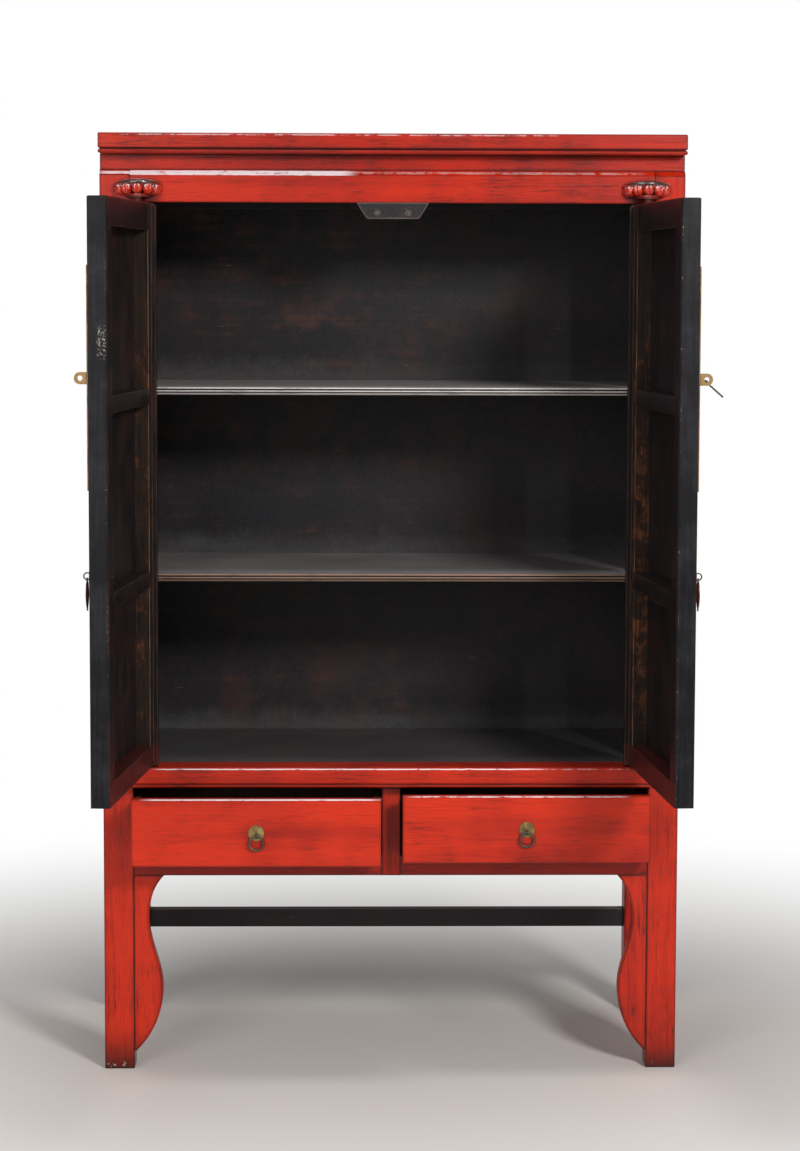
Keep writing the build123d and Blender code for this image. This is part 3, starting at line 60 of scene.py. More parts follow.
# ---- Doors: where they hang and how far they stand open ------------------------------------------
JOINTS = {joint["name"]: joint for joint in frame["joints"]}
DOOR_TURN = {"left": -95.5, "right": 94.0}  # degrees from shut, about +Z
DOOR_HAND = {"left": 1.0, "right": -1.0}  # way from the pivot axis to the free edge, when shut
DOOR_PIVOT = {side: Vector(JOINTS[f"{side}_door_hinge"]["pos_m"]) for side in DOOR_TURN}
OUTER_FACE = 0.009  # outer face of a door from its pivot axis
INNER_FACE = -0.025  # inner face of a door from its pivot axis
LOCK_EDGE = 0.47475  # free edge of a door from its pivot axis
HINGE_EDGE = -0.0145  # edge beyond the pivot axis
STILE_WIDTH = 0.0335  # inner edge of the hinge stile from the pivot axis
BOTTOM_RAIL_TOP = 0.635  # height of the top of a door's bottom rail
DOOR_HIGH = 1.6495  # height of the top of a door
SCUFF = (1.375, 1.425)  # heights of the pale scuff on a free edge

# ---- Inside of the cupboard: limits of the faces that are black ----------------------------------
POST_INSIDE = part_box("front_right_post")[0][0]
LOWER_RAIL_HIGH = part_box("lower_front_rail")[1][2]
INNER_SIDE = 0.5175
INNER_FRONT = -0.2125
INNER_BACK = 0.2160
INNER_LOW = 0.4135
INNER_HIGH = 1.7100
DECK_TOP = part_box("deck_board")[1][2]
LOWER_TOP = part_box("lower_shelf")[1][2]
UPPER_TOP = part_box("upper_shelf")[1][2]
SHELF_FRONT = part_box("upper_shelf")[0][1]
SHELF_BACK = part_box("upper_shelf")[1][1]

# ---- Painted highlights on the red lacquer: pale lines that stand in for reflections on upper edges ---
# Each painted highlight has its limits across, back and up, how much of it shows through the breakup, and
# how pale it is.
RAIL_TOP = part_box("top_front_rail")[1][2]
SILL_LOW, SILL_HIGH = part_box("sill_moulding")
CORNICE_LOW, CORNICE_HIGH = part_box("cornice_frame")
DRAWER_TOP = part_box("left_drawer_front")[1][2]
SHOULDER_BACK = (-0.2510, -0.2395)  # rounded upper edge of the top rail and posts
SILL_BACK = (SILL_LOW[1] - 0.001, SILL_LOW[1] + 0.006)
SILL_UP = (SILL_HIGH[2] - 0.0042, SILL_HIGH[2] - 0.0022)
CORNICE_BACK = (CORNICE_LOW[1] - 0.001, CORNICE_LOW[1] + 0.004)
CORNICE_UP = (CORNICE_HIGH[2] - 0.0044, CORNICE_HIGH[2] - 0.0022)
DRAWER_UP = (DRAWER_TOP - 0.0020, DRAWER_TOP + 0.0005)
POST_PAINTED_HIGHLIGHTS = (
    ((-0.56, -0.47), SHOULDER_BACK, (RAIL_TOP - 0.0080, RAIL_TOP - 0.0030), 0.75, 0.9),
)
RAIL_PAINTED_HIGHLIGHTS = (
    ((-0.530, -0.08), SHOULDER_BACK, (RAIL_TOP - 0.0100, RAIL_TOP - 0.0014), 0.88, 0.97),
    ((-0.08, 0.46), SHOULDER_BACK, (RAIL_TOP - 0.0070, RAIL_TOP - 0.0025), 0.70, 0.30),
)
SILL_PAINTED_HIGHLIGHTS = (
    ((-0.44, 0.28), SILL_BACK, SILL_UP, 0.85, 0.95),
    ((0.28, 0.45), SILL_BACK, SILL_UP, 0.60, 0.40),
)
CORNICE_PAINTED_HIGHLIGHTS = (
    ((-0.50, 0.30), CORNICE_BACK, CORNICE_UP, 0.65, 0.40),
)
DRAWER_PAINTED_HIGHLIGHTS = (
    ((-0.46, -0.03), (-0.3625, -0.3560), DRAWER_UP, 0.85, 0.9),
    ((0.04, 0.44), (-0.3285, -0.3220), DRAWER_UP, 0.75, 0.8),
)

# ---- Lotus blocks: they stand where the frame's own blocks do ------------------------------------
LOTUS_LOW, LOTUS_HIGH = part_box("lotus_pivot_blocks")
FRONT = LOTUS_HIGH[1]
LOTUS_BOTTOM = LOTUS_LOW[2]
LOTUS_TOP = LOTUS_HIGH[2]
LOTUS_DEPTH = LOTUS_HIGH[1] - LOTUS_LOW[1]
LOTUS_HALF_WIDTH = LOTUS_HIGH[0] - DOOR_PIVOT["right"].x
LOTUS_CAP = 0.0095
LOTUS_COLLAR = 0.046
LOTUS_COLLAR_HEIGHT = 0.004
LOTUS_PETAL_STEP = 31  # degrees between petals
LOTUS_RING_WIDTH = LOTUS_HALF_WIDTH - 0.0095  # middle of the petals, to the side
LOTUS_RING_DEPTH = LOTUS_DEPTH - 0.0105  # middle of the petals, to the front
LOTUS_SOCKET = 0.00855
LOTUS_SOCKET_DEPTH = 0.031
LOTUS_DRILL = 0.04  # length of the tool that bores the socket
PETALS_A_SIDE = 3
ON_PLANE = 1e-5  # how near two heights count as one
BEHIND_FACE = 1e-4  # how near the rail's face counts as on it

# Painted shadow on the top rail under each lotus block: limits across, on both sides, and up
PAINTED_LOTUS_SHADOW = (
    (DOOR_PIVOT["right"].x - 0.040, DOOR_PIVOT["right"].x + 0.044),
    (LOTUS_BOTTOM - 0.010, LOTUS_BOTTOM + 0.010),
)

# ---- Shading and stage: values that many steps share -----------------------------------------------
SAMPLES = 6  # rays of each bevel and crevice node
GRAIN_STRETCH = 0.045  # noise along the grain, as a share of that across it
EDGE_SKIN = 0.0006  # depth below a door's edge that takes the finish of the edge
NO_REEDS = DECK_TOP - 1.0  # height below the deck board, which has no reeds on its front
REED_DEPTH = 0.0025  # how far the worn reeds reach behind a shelf's front
CAMERA_SIDE = -0.10
CAMERA_TURN = (5.555, 1.185, 0.18)  # degrees of pitch, yaw and roll
CAMERA_LENS = 92.6
CAMERA_SENSOR = 36
LAMP_TARGET = Vector((0, 0, 0.95))
LAMPS = (  # name, place, width, height and power
    ("key", (2.0, -4.75, 3.0), 0.8, 0.8, 165),
    ("fill", (-2.2, -5.2, 2.1), 2.4, 2.4, 78),
    ("top", (-0.33, -0.60, 3.9), 1.0, 0.8, 24),
)
FLOOR_RADIUS = 14
FLOOR_FADE = (0.35, 2.4)  # the floor turns white between these distances from the middle
WORLD_LIGHT = 0.20


# ---- Values that a user would change -------------------------------------------------------------
def colour(name, description, default):
    return bpy.props.FloatVectorProperty(
        name=name, description=description, default=default, subtype="COLOR", size=3, min=0, max=1
    )


class CabinetColours(bpy.types.PropertyGroup):
    red: colour("Red", "Bright lacquer of the outside", (0.66, 0.031, 0.008))
    # Deep red also makes the painted shade of parts that lie in shade
    deep_red: colour("Deep red", "Lacquer where it lies thick or old", (0.34, 0.014, 0.007))
    # Glaze is also the colour of painted shade in corners and recesses
    glaze: colour("Glaze", "Brown glaze rubbed into corners and streaks", (0.050, 0.008, 0.006))
    # Line is also the colour of painted shade in grooves, creases, lotus hollows and under the lotus blocks
    line: colour("Line", "Near black left on sharp edges", (0.022, 0.008, 0.008))
    black: colour("Black", "Black lacquer of edges and inside", (0.0052, 0.0052, 0.0068))
    inner: colour("Inner black", "Black inside the cupboard, greyed by age", (0.022, 0.018, 0.022))
    brown: colour("Brown", "Wood that shows where the black is worn", (0.066, 0.026, 0.017))
    # Satin is the lighter grey of painted sheen on the door edges
    satin: colour("Satin", "Satin black of the door edges", (0.019, 0.020, 0.025))
    old_brown: colour("Old brown", "Worn brown of the hinge stiles", (0.026, 0.014, 0.009))
    rust: colour("Rust", "Bare wood of rubbed edges and stiles", (0.20, 0.062, 0.020))
    # Maroon is also a painted reflection along the doors' top edges
    maroon: colour("Maroon", "Old red under the black of the doors", (0.11, 0.012, 0.010))
    # Pale is the colour of painted highlights: the lines on upper edges, the drawer arrises and the lotus
    # glints
    pale: colour("Pale", "Pale pink where the red is rubbed on an upper edge", (0.95, 0.86, 0.88))
    shelf_dust_and_sheen: colour("Shelf dust", "Grey of the tops of the shelves", (0.36, 0.34, 0.33))
    bare: colour("Bare", "Pale chips, scuffs and scratches", (0.42, 0.38, 0.34))
    # Copper is also the pale lines on the lower shelf's reeds, partly wear and partly painted highlights
    copper: colour("Copper", "Worn beads of the lower shelf", (0.34, 0.20, 0.13))
    # Pale grey lines on the upper shelf's reeds: partly wear, partly painted highlights
    upper_reed_wear_and_highlight: colour("Silver", "Worn beads of the upper shelf", (0.70, 0.66, 0.64))
    cap: colour("Cap", "Dark cap of the lotus blocks", (0.030, 0.026, 0.018))
    dust: colour("Dust", "Grey haze on the inner surfaces", (0.098, 0.094, 0.090))
    brass: colour("Brass", "Olive brass of the drawer plates", (0.42, 0.31, 0.12))
    brown_brass: colour("Brown brass", "Brown brass of the lock plates and hasps", (0.27, 0.17, 0.075))
    tarnish: colour("Tarnish", "Brown in the hollows of brass", (0.10, 0.062, 0.028))
    iron: colour("Iron", "Dark iron of rings and pin", (0.085, 0.078, 0.070))
    wood: colour("Drawer wood", "Plain wood of the drawer boxes", (0.115, 0.062, 0.033))
    floor: colour("Floor", "Pale studio floor", (0.88, 0.84, 0.79))


class CabinetSizes(bpy.types.PropertyGroup):
    wear: bpy.props.FloatProperty(
        name="Wear", description="How far wear reaches in from an edge", default=0.0065, unit="LENGTH"
    )
    lotus_petal: bpy.props.FloatProperty(
        name="Petal", description="Width of a lotus petal", default=0.0205, unit="LENGTH"
    )
    lotus_groove: bpy.props.FloatProperty(
        name="Petal groove", description="Depth of the groove down a petal", default=0.0042, unit="LENGTH"
    )
    camera_height: bpy.props.FloatProperty(
        name="Camera height", description="Eye above the floor", default=1.495, unit="LENGTH"
    )
    camera_distance: bpy.props.FloatProperty(
        name="Camera distance", description="Eye in front of the cabinet", default=5.828, unit="LENGTH"
    )


# ---- Shader nodes as Python expressions ----------------------------------------------------------
class Wire:
    """A socket that carries one number; sums, products and comparisons of it add Math nodes."""

    def __init__(self, shader, socket):
        self.shader = shader
        self.socket = socket

    def __add__(self, other):
        return self.shader.math("ADD", self, other)

    def __sub__(self, other):
        return self.shader.math("SUBTRACT", self, other)

    def __rsub__(self, other):
        return self.shader.math("SUBTRACT", other, self)

    def __mul__(self, other):
        return self.shader.math("MULTIPLY", self, other)

    def __gt__(self, other):
        return self.shader.math("GREATER_THAN", self, other)

    def __lt__(self, other):
        return self.shader.math("LESS_THAN", self, other)

    def __abs__(self):
        return self.shader.math("ABSOLUTE", self)

    __radd__ = __add__
    __rmul__ = __mul__


class Shader:
    """One material and the nodes that make its colour, roughness and relief."""

    def __init__(self, name):
        self.material = bpy.data.materials.new(name)
        self.material.use_nodes = True
        self.tree = self.material.node_tree
        self.tree.nodes.clear()

    def node(self, kind, settings=None, **sockets):
        """Add a node: its settings first, then a value or a link for each named or numbered socket."""
        made = self.tree.nodes.new(kind)
        for key, value in (settings or {}).items():
            setattr(made, key, value)
        for key, value in sockets.items():
            numbered = key[0] == "i" and key[1:].isdigit()
            socket = made.inputs[int(key[1:]) if numbered else key.replace("_", " ")]
            if isinstance(value, Wire):
                value = value.socket
            if isinstance(value, bpy.types.NodeSocket):
                self.tree.links.new(value, socket)
            else:
                socket.default_value = value
        return made

    def math(self, operation, *values):
        sockets = {f"i{number}": value for number, value in enumerate(values)}
        return Wire(self, self.node("ShaderNodeMath", {"operation": operation}, **sockets).outputs[0])

    def clamp(self, value):
        return Wire(self, self.node("ShaderNodeClamp", None, Value=value).outputs[0])

    def ramp(self, value, low, high):
        """0 below low, 1 above high, smooth between."""
        made = self.node(
            "ShaderNodeMapRange",
            {"interpolation_type": "SMOOTHSTEP"},
            Value=value, From_Min=low, From_Max=high,
        )
        return Wire(self, made.outputs[0])

    def point(self):
        return self.node("ShaderNodeTexCoord").outputs["Object"]

    def normal(self):
        return self.node("ShaderNodeTexCoord").outputs["Normal"]

    def split(self, vector):
        made = self.node("ShaderNodeSeparateXYZ", None, Vector=vector)
        return [Wire(self, output) for output in made.outputs]

    def mapped(self, vector, scale):
        return self.node("ShaderNodeMapping", None, Vector=vector, Scale=scale).outputs[0]

    def toward(self, first, second):
        """Dot product of two vectors, each given as numbers or as a socket."""
        made = self.node("ShaderNodeVectorMath", {"operation": "DOT_PRODUCT"}, i0=first, i1=second)
        return Wire(self, made.outputs["Value"])

    def noise(self, vector, scale, detail=4, roughness=0.55, distortion=0):
        made = self.node(
            "ShaderNodeTexNoise", None,
            Vector=vector, Scale=scale, Detail=detail, Roughness=roughness, Distortion=distortion,
        )
        return Wire(self, made.outputs["Fac"])

    def crevice(self, distance):
        """1 deep in a corner and 0 in the open."""
        made = self.node("ShaderNodeAmbientOcclusion", {"samples": SAMPLES}, Distance=distance)
        return 1 - Wire(self, made.outputs["AO"])

    def edge(self, radius):
        """1 on an arris and 0 on a flat face."""
        bevel = self.node("ShaderNodeBevel", {"samples": SAMPLES}, Radius=radius)
        flat = self.node("ShaderNodeNewGeometry")
        return 1 - self.toward(bevel.outputs[0], flat.outputs["Normal"])

    def mix(self, factor, first, second):
        """Blend two colours, each given as numbers or as a socket."""
        made = self.node("ShaderNodeMix", {"data_type": "RGBA"})
        for index, value in ((0, factor), (6, first), (7, second)):
            if isinstance(value, Wire):
                value = value.socket
            if isinstance(value, bpy.types.NodeSocket):
                self.tree.links.new(value, made.inputs[index])
            else:
                made.inputs[index].default_value = value if index == 0 else (*value, 1)
        return made.outputs[2]

    def finish(self, colour_socket, roughness, height, relief, rounding=0.0, **constants):
        """Join colour, roughness, relief and softened edges to one Principled shader."""
        links = {"Base_Color": colour_socket, "Roughness": roughness}
        bump = self.node("ShaderNodeBump", None, Strength=1.0, Distance=relief, Height=height)
        if rounding:
            soft = self.node("ShaderNodeBevel", {"samples": SAMPLES}, Radius=rounding)
            self.tree.links.new(soft.outputs[0], bump.inputs["Normal"])
        links["Normal"] = bump.outputs[0]
        links.update(constants)
        surface = self.node("ShaderNodeBsdfPrincipled", None, **links)
        self.node("ShaderNodeOutputMaterial", None, Surface=surface.outputs[0])
        return self.material


def dress(node_names, material):
    """Give CAD nodes a finish through their material slots."""
    for name in node_names:
        for slot in NODES[name].material_slots:
            slot.material = material


# ---- Finishes ------------------------------------------------------------------------------------
def grain_vector(shader, point, grain):
    """Coordinates drawn out along the grain: X, Y or Z."""
    return shader.mapped(point, [GRAIN_STRETCH if axis == grain else 1 for axis in "XYZ"])


def lacquer_colour(shader, colours, point, along, painted_shade):
    """Red lacquer: bright body, deeper patches, brown streaks along the grain and painted shade in the
    corners.
    """
    cloud = shader.noise(point, 5.5, 3, 0.6)
    gathered = shader.ramp(shader.noise(point, 11, 4, 0.65), 0.44, 0.68)
    fine = shader.noise(along, 520, 5, 0.7)
    streak = shader.noise(along, 210, 5, 0.65)
    wide = shader.noise(along, 24, 3, 0.55)
    # A part's painted shade deepens its red as if it lay in shade; below zero it lightens a lit part
    deep = shader.ramp(cloud, 0.38, 0.72) * 0.5 + shader.ramp(wide, 0.42, 0.72) * 0.5 + painted_shade + 0.08
    body = shader.mix(shader.clamp(deep), colours.red, colours.deep_red)
    share = (gathered * 0.55 + 0.40) * (1 + min(painted_shade, 0) * 3)
    hair = shader.noise(along, 900, 3, 0.6)
    dark = shader.ramp(streak, 0.51, 0.66) * 0.55 + shader.ramp(fine, 0.50, 0.63) * 0.7
    dark = shader.ramp(hair, 0.52, 0.64) * 0.45 + dark
    dark = shader.clamp(dark * share)
    speck = shader.ramp(shader.noise(point, 210, 3, 0.6), 0.64, 0.72) * share * 0.6
    # Painted shade: the glaze colour darkens corners and recesses
    corner = shader.ramp(shader.crevice(0.035) + (cloud - 0.5) * 0.4, 0.24, 0.85)
    body = shader.mix(shader.clamp(dark + speck + corner * 0.8), body, colours.glaze)
    return body, cloud, fine, streak


def within(shader, value, low, high, soft=0.0006):
    """1 where the value lies between low and high, with soft ends."""
    return shader.ramp(value, low - soft, low + soft) * (1 - shader.ramp(value, high - soft, high + soft))


def cupboard_inside(shader, point):
    """1 on what faces the room behind the doors and drawers, between the side panels."""
    x, y, z = shader.split(point)
    across = abs(x) < INNER_SIDE
    deep = (y > INNER_FRONT) * (y < INNER_BACK)
    return across * deep * within(shader, z, INNER_LOW, INNER_HIGH, 0.0002)


def painted_highlight_lines(shader, place, lines, fine, broken):
    """Painted highlights as pale lines, broken up like rubbed wear: each has limits across, back and up,
    how much of it shows, and how pale.
    """
    total = 0.0
    for across, back, up, share, strength in lines:
        line = within(shader, place[0], *across, 0.02) * within(shader, place[1], *back, 0.0002)
        line = line * within(shader, place[2] + (broken - 0.5) * 0.0020, *up, 0.0005)
        # Noise breaks each painted highlight into streaks
        rubbed = shader.ramp(fine * 0.45 + broken * 0.55, 0.64 - share * 0.30, 0.72 - share * 0.30)
        total = line * rubbed * strength + total
    return shader.clamp(total)


def red_lacquer(
    name, colours, sizes, grain,
    painted_shade=0.0, worn_below=None, line=0.85, rounding=0.002, painted_highlights=(), rim=0.0, lotus_shadow=(),
):
    """Semi-gloss red lacquer on one run of grain, black on the side that faces the inside, with painted
    shade, shadow and highlights where asked.
    """
    shader = Shader(name)
    point = shader.point()
    along = grain_vector(shader, point, grain)
    body, cloud, fine, streak = lacquer_colour(shader, colours, point, along, painted_shade)
    broken = shader.noise(point, 60, 4, 0.7)
    if worn_below:
        height = shader.split(point)[2]
        low = (1 - shader.ramp(height + (cloud - 0.5) * 0.05, -0.012, worn_below)) * (0.7 + broken * 0.5)
        body = shader.mix(shader.clamp(low), body, colours.glaze)
        chips = (1 - shader.ramp(height, 0.004, 0.02)) * shader.ramp(broken, 0.58, 0.64)
        body = shader.mix(chips, body, colours.bare)
    edge = shader.edge(sizes.wear)
    arris = shader.clamp(shader.ramp(edge + (broken - 0.5) * 0.03, 0.008, 0.07))
    x, y, z = shader.split(point)
    joint = within(shader, abs(x), POST_INSIDE - 0.0009, POST_INSIDE + 0.0009, 0.0004)
    joint = joint * (y < FRONT + 0.0004) * within(shader, z, 0.01, LOWER_RAIL_HIGH)
    # Painted shade in narrow grooves and creases, added to the dark line on sharp arrises and the dark
    # joints
    crease_shade = shader.ramp(shader.crevice(0.005), 0.30, 0.75) * 0.9
    body = shader.mix(shader.clamp(arris * line + joint * 0.75 + crease_shade), body, colours.line)
    # Painted shadow of each lotus block on the rail below it
    if lotus_shadow:
        near = within(shader, abs(x), *lotus_shadow[0], 0.012) * within(shader, z, *lotus_shadow[1], 0.004)
        body = shader.mix(near * (0.35 + broken * 0.6), body, colours.line)
    # Pale lines on the arrises: painted highlights
    if rim:
        bright = shader.ramp(shader.edge(0.0022), 0.05, 0.16)
        bright = bright * shader.ramp(broken + (cloud - 0.5) * 0.8, 0.44, 0.54)
        body = shader.mix(bright * rim, body, colours.pale)
    # Painted highlights: pale lines along upper edges that stand in for reflections of the lamps
    if painted_highlights:
        body = shader.mix(painted_highlight_lines(shader, (x, y, z), painted_highlights, fine, broken), body, colours.pale)
    hidden = cupboard_inside(shader, point)
    body = shader.mix(hidden, body, shader.mix(fine, colours.inner, colours.black))
    roughness = 0.27 + (cloud - 0.5) * 0.16 + (fine - 0.5) * 0.18 + arris * 0.05 + hidden * 0.1
    height = streak * 0.5 + fine * 0.3 + cloud * 1.2
    return shader.finish(
        body, shader.clamp(roughness), height, 0.0006, rounding=rounding,
        Specular_IOR_Level=0.20, Coat_Weight=0.05, Coat_Roughness=0.10,
    )


def lotus_lacquer(name, colours):
    """Glossy red petals with painted glints, painted shade in the hollows and at the foot, under a dark
    green-grey cap.
    """
    shader = Shader(name)
    point = shader.point()
    height = shader.split(point)[2]
    cloud = shader.noise(point, 60, 4, 0.6)
    fine = shader.noise(point, 420, 5, 0.7)
    body = shader.mix(shader.ramp(cloud, 0.35, 0.7) * 0.7, colours.red, colours.deep_red)
    body = shader.mix(shader.ramp(fine, 0.56, 0.72) * 0.5, body, colours.glaze)
    # Painted shade: near black in the hollows between petals and over the lowest part of the block
    hollow_shade = shader.ramp(shader.crevice(0.007) + (cloud - 0.5) * 0.25, 0.30, 0.75)
    shaded_foot = 1 - shader.ramp(height + (cloud - 0.5) * 0.004, LOTUS_BOTTOM + 0.002, LOTUS_BOTTOM + 0.008)
    body = shader.mix(shader.clamp(hollow_shade + shaded_foot * 0.8), body, colours.line)
    # Painted glints: pale spots where the petals face up and forward
    facing = shader.normal()
    for across in (-0.36, 0.34):
        toward = shader.toward(facing, (across, -0.80, 0.48))
        glint = shader.ramp(toward + (fine - 0.5) * 0.05, 0.955, 0.985)
        body = shader.mix(glint * 0.85, body, colours.pale)
    cap_low = LOTUS_TOP - LOTUS_CAP
    cap = shader.ramp(height + (cloud - 0.5) * 0.002, cap_low - 0.0014, cap_low + 0.0004)
    top = shader.mix(shader.clamp(shader.ramp(fine, 0.5, 0.7) * 0.6), colours.cap, colours.deep_red)
    body = shader.mix(cap, body, top)
    roughness = shader.clamp(0.18 + (cloud - 0.5) * 0.10 + (fine - 0.5) * 0.12 + cap * 0.10 + shaded_foot * 0.4)
    coat = shader.clamp(1 - shaded_foot)
    return shader.finish(
        body, roughness, fine + cloud, 0.0003, Specular_IOR_Level=0.5, Coat_Weight=coat, Coat_Roughness=0.05
    )


def grey_above_shelves(shader, height, tops, reach, cloud):
    """Grey that lies on an upright face just above each shelf, and fades upwards."""
    haze = 0.0
    for top in tops:
        fading = 1 - shader.ramp(height + (cloud - 0.5) * 0.08, top, top + reach)
        haze = (height > top - 0.002) * fading + haze
    return haze


def black_lacquer(
    name, colours, sizes, grain,
    dust=0.25, brown=0.35, gloss=0.38, tops=(), beads=None, rim=0.0,
):
    """Thin black lacquer over brown wood, hazed with dust and rubbed through in places; paler tops and reed
    lines are partly painted sheen and highlights.
    """
    shader = Shader(name)
    point = shader.point()
    along = grain_vector(shader, point, grain)
    x, y, z = shader.split(point)
    cloud = shader.noise(point, 4.5, 4, 0.6)
    spots = shader.noise(point, 17, 5, 0.7)
    fine = shader.noise(along, 330, 5, 0.65)
    streak = shader.noise(along, 70, 4, 0.6)
    weave = shader.noise(shader.mapped(point, (1, 1, 0.3)), 520, 3, 0.6)
    stain = shader.ramp(shader.noise(point, 7, 5, 0.7), 0.48, 0.70) * (0.3 + weave)
    through = shader.clamp((shader.ramp(spots + (streak - 0.5) * 0.6, 0.50, 0.85) + stain * 0.9) * brown)
    body = shader.mix(shader.clamp(cloud * 1.3 - 0.1 + (weave - 0.5) * 1.8), colours.black, colours.inner)
    if tops:
        # On the back, more brown shows on the left, painted light where the light falls, and more higher up
        through = through * (1.5 - shader.ramp(x, -0.25, 0.35) * 0.9)
        through = through * (0.9 + shader.ramp(z, 1.20, 1.45) * 0.6)
    body = shader.mix(shader.clamp(through), body, colours.brown)
    edge = shader.edge(sizes.wear)
    worn = shader.ramp(edge + (spots - 0.5) * 0.2, 0.03, 0.25)
    body = shader.mix(worn * 0.28, body, colours.rust)
    _, backward, facing = shader.split(shader.normal())
    level = shader.ramp(facing, 0.5, 0.95)
    settled = (level + 0.22) * dust * (0.5 + cloud) * (0.7 + fine * 0.6)
    if tops:
        # Painted light: the grey above the shelves is stronger on the left of the back, where the light
        # falls
        lit_left = 1.25 - shader.ramp(x, -0.45, 0.40) * 0.7
        above_shelves = grey_above_shelves(shader, z, tops, 0.055, spots) * (cloud * 0.5 + streak * 0.6) * (0.3 + weave)
        settled = above_shelves * lit_left * (backward < -0.5) + settled
    settled = shader.clamp(settled)
    # Level faces take the paler grey of the shelf tops: settled dust, and painted sheen of light grazing
    # the tops
    body = shader.mix(settled, body, shader.mix(level, colours.dust, colours.shelf_dust_and_sheen))
    scratched = shader.ramp(shader.noise(shader.mapped(point, (0.03, 1, 1)), 700, 2, 0.5), 0.70, 0.76)
    scratched = scratched * shader.ramp(spots, 0.55, 0.7) * 0.5
    # Pale edges and flecks of the stop block: partly wear, partly a painted highlight along its edges
    if rim:
        flecks = shader.ramp(shader.noise(point, 420, 4, 0.7), 0.58, 0.66) * shader.ramp(spots, 0.38, 0.6)
        scratched = shader.clamp(worn * (1 - level) * fine * rim + flecks * rim + scratched)
    body = shader.mix(scratched, body, colours.bare)
    if beads:
        front, joint, top, reed_wear_and_highlight = beads
        # Reeds of a shelf front: pale lines that are partly wear and partly painted highlights
        reeds = within(shader, z, top - 0.0028, top - 0.0006)
        reeds = reeds + within(shader, z, top - 0.0086, top - 0.0062) * 0.9
        reeds = within(shader, z, top - 0.0143, top - 0.0112) * 0.45 + reeds
        nose = y < front + REED_DEPTH
        lip = nose * reeds * (shader.ramp(fine + (spots - 0.5) * 0.5, 0.28, 0.50) * 0.7 + 0.3)
        body = shader.mix(nose * (1 - reeds) * 0.7, body, colours.black)
        body = shader.mix(lip, body, reed_wear_and_highlight)
        seam = (y > joint) * (facing > 0.5) * shader.ramp(fine, 0.42, 0.60)
        body = shader.mix(seam * 0.8, body, colours.bare)
    roughness = shader.clamp(gloss + (cloud - 0.5) * 0.2 + settled * 0.35 + (fine - 0.5) * 0.16)
    height = streak * 0.5 + fine * 0.35 + spots * 0.5
    return shader.finish(body, roughness, height, 0.0005, rounding=0.0022, Specular_IOR_Level=0.22)


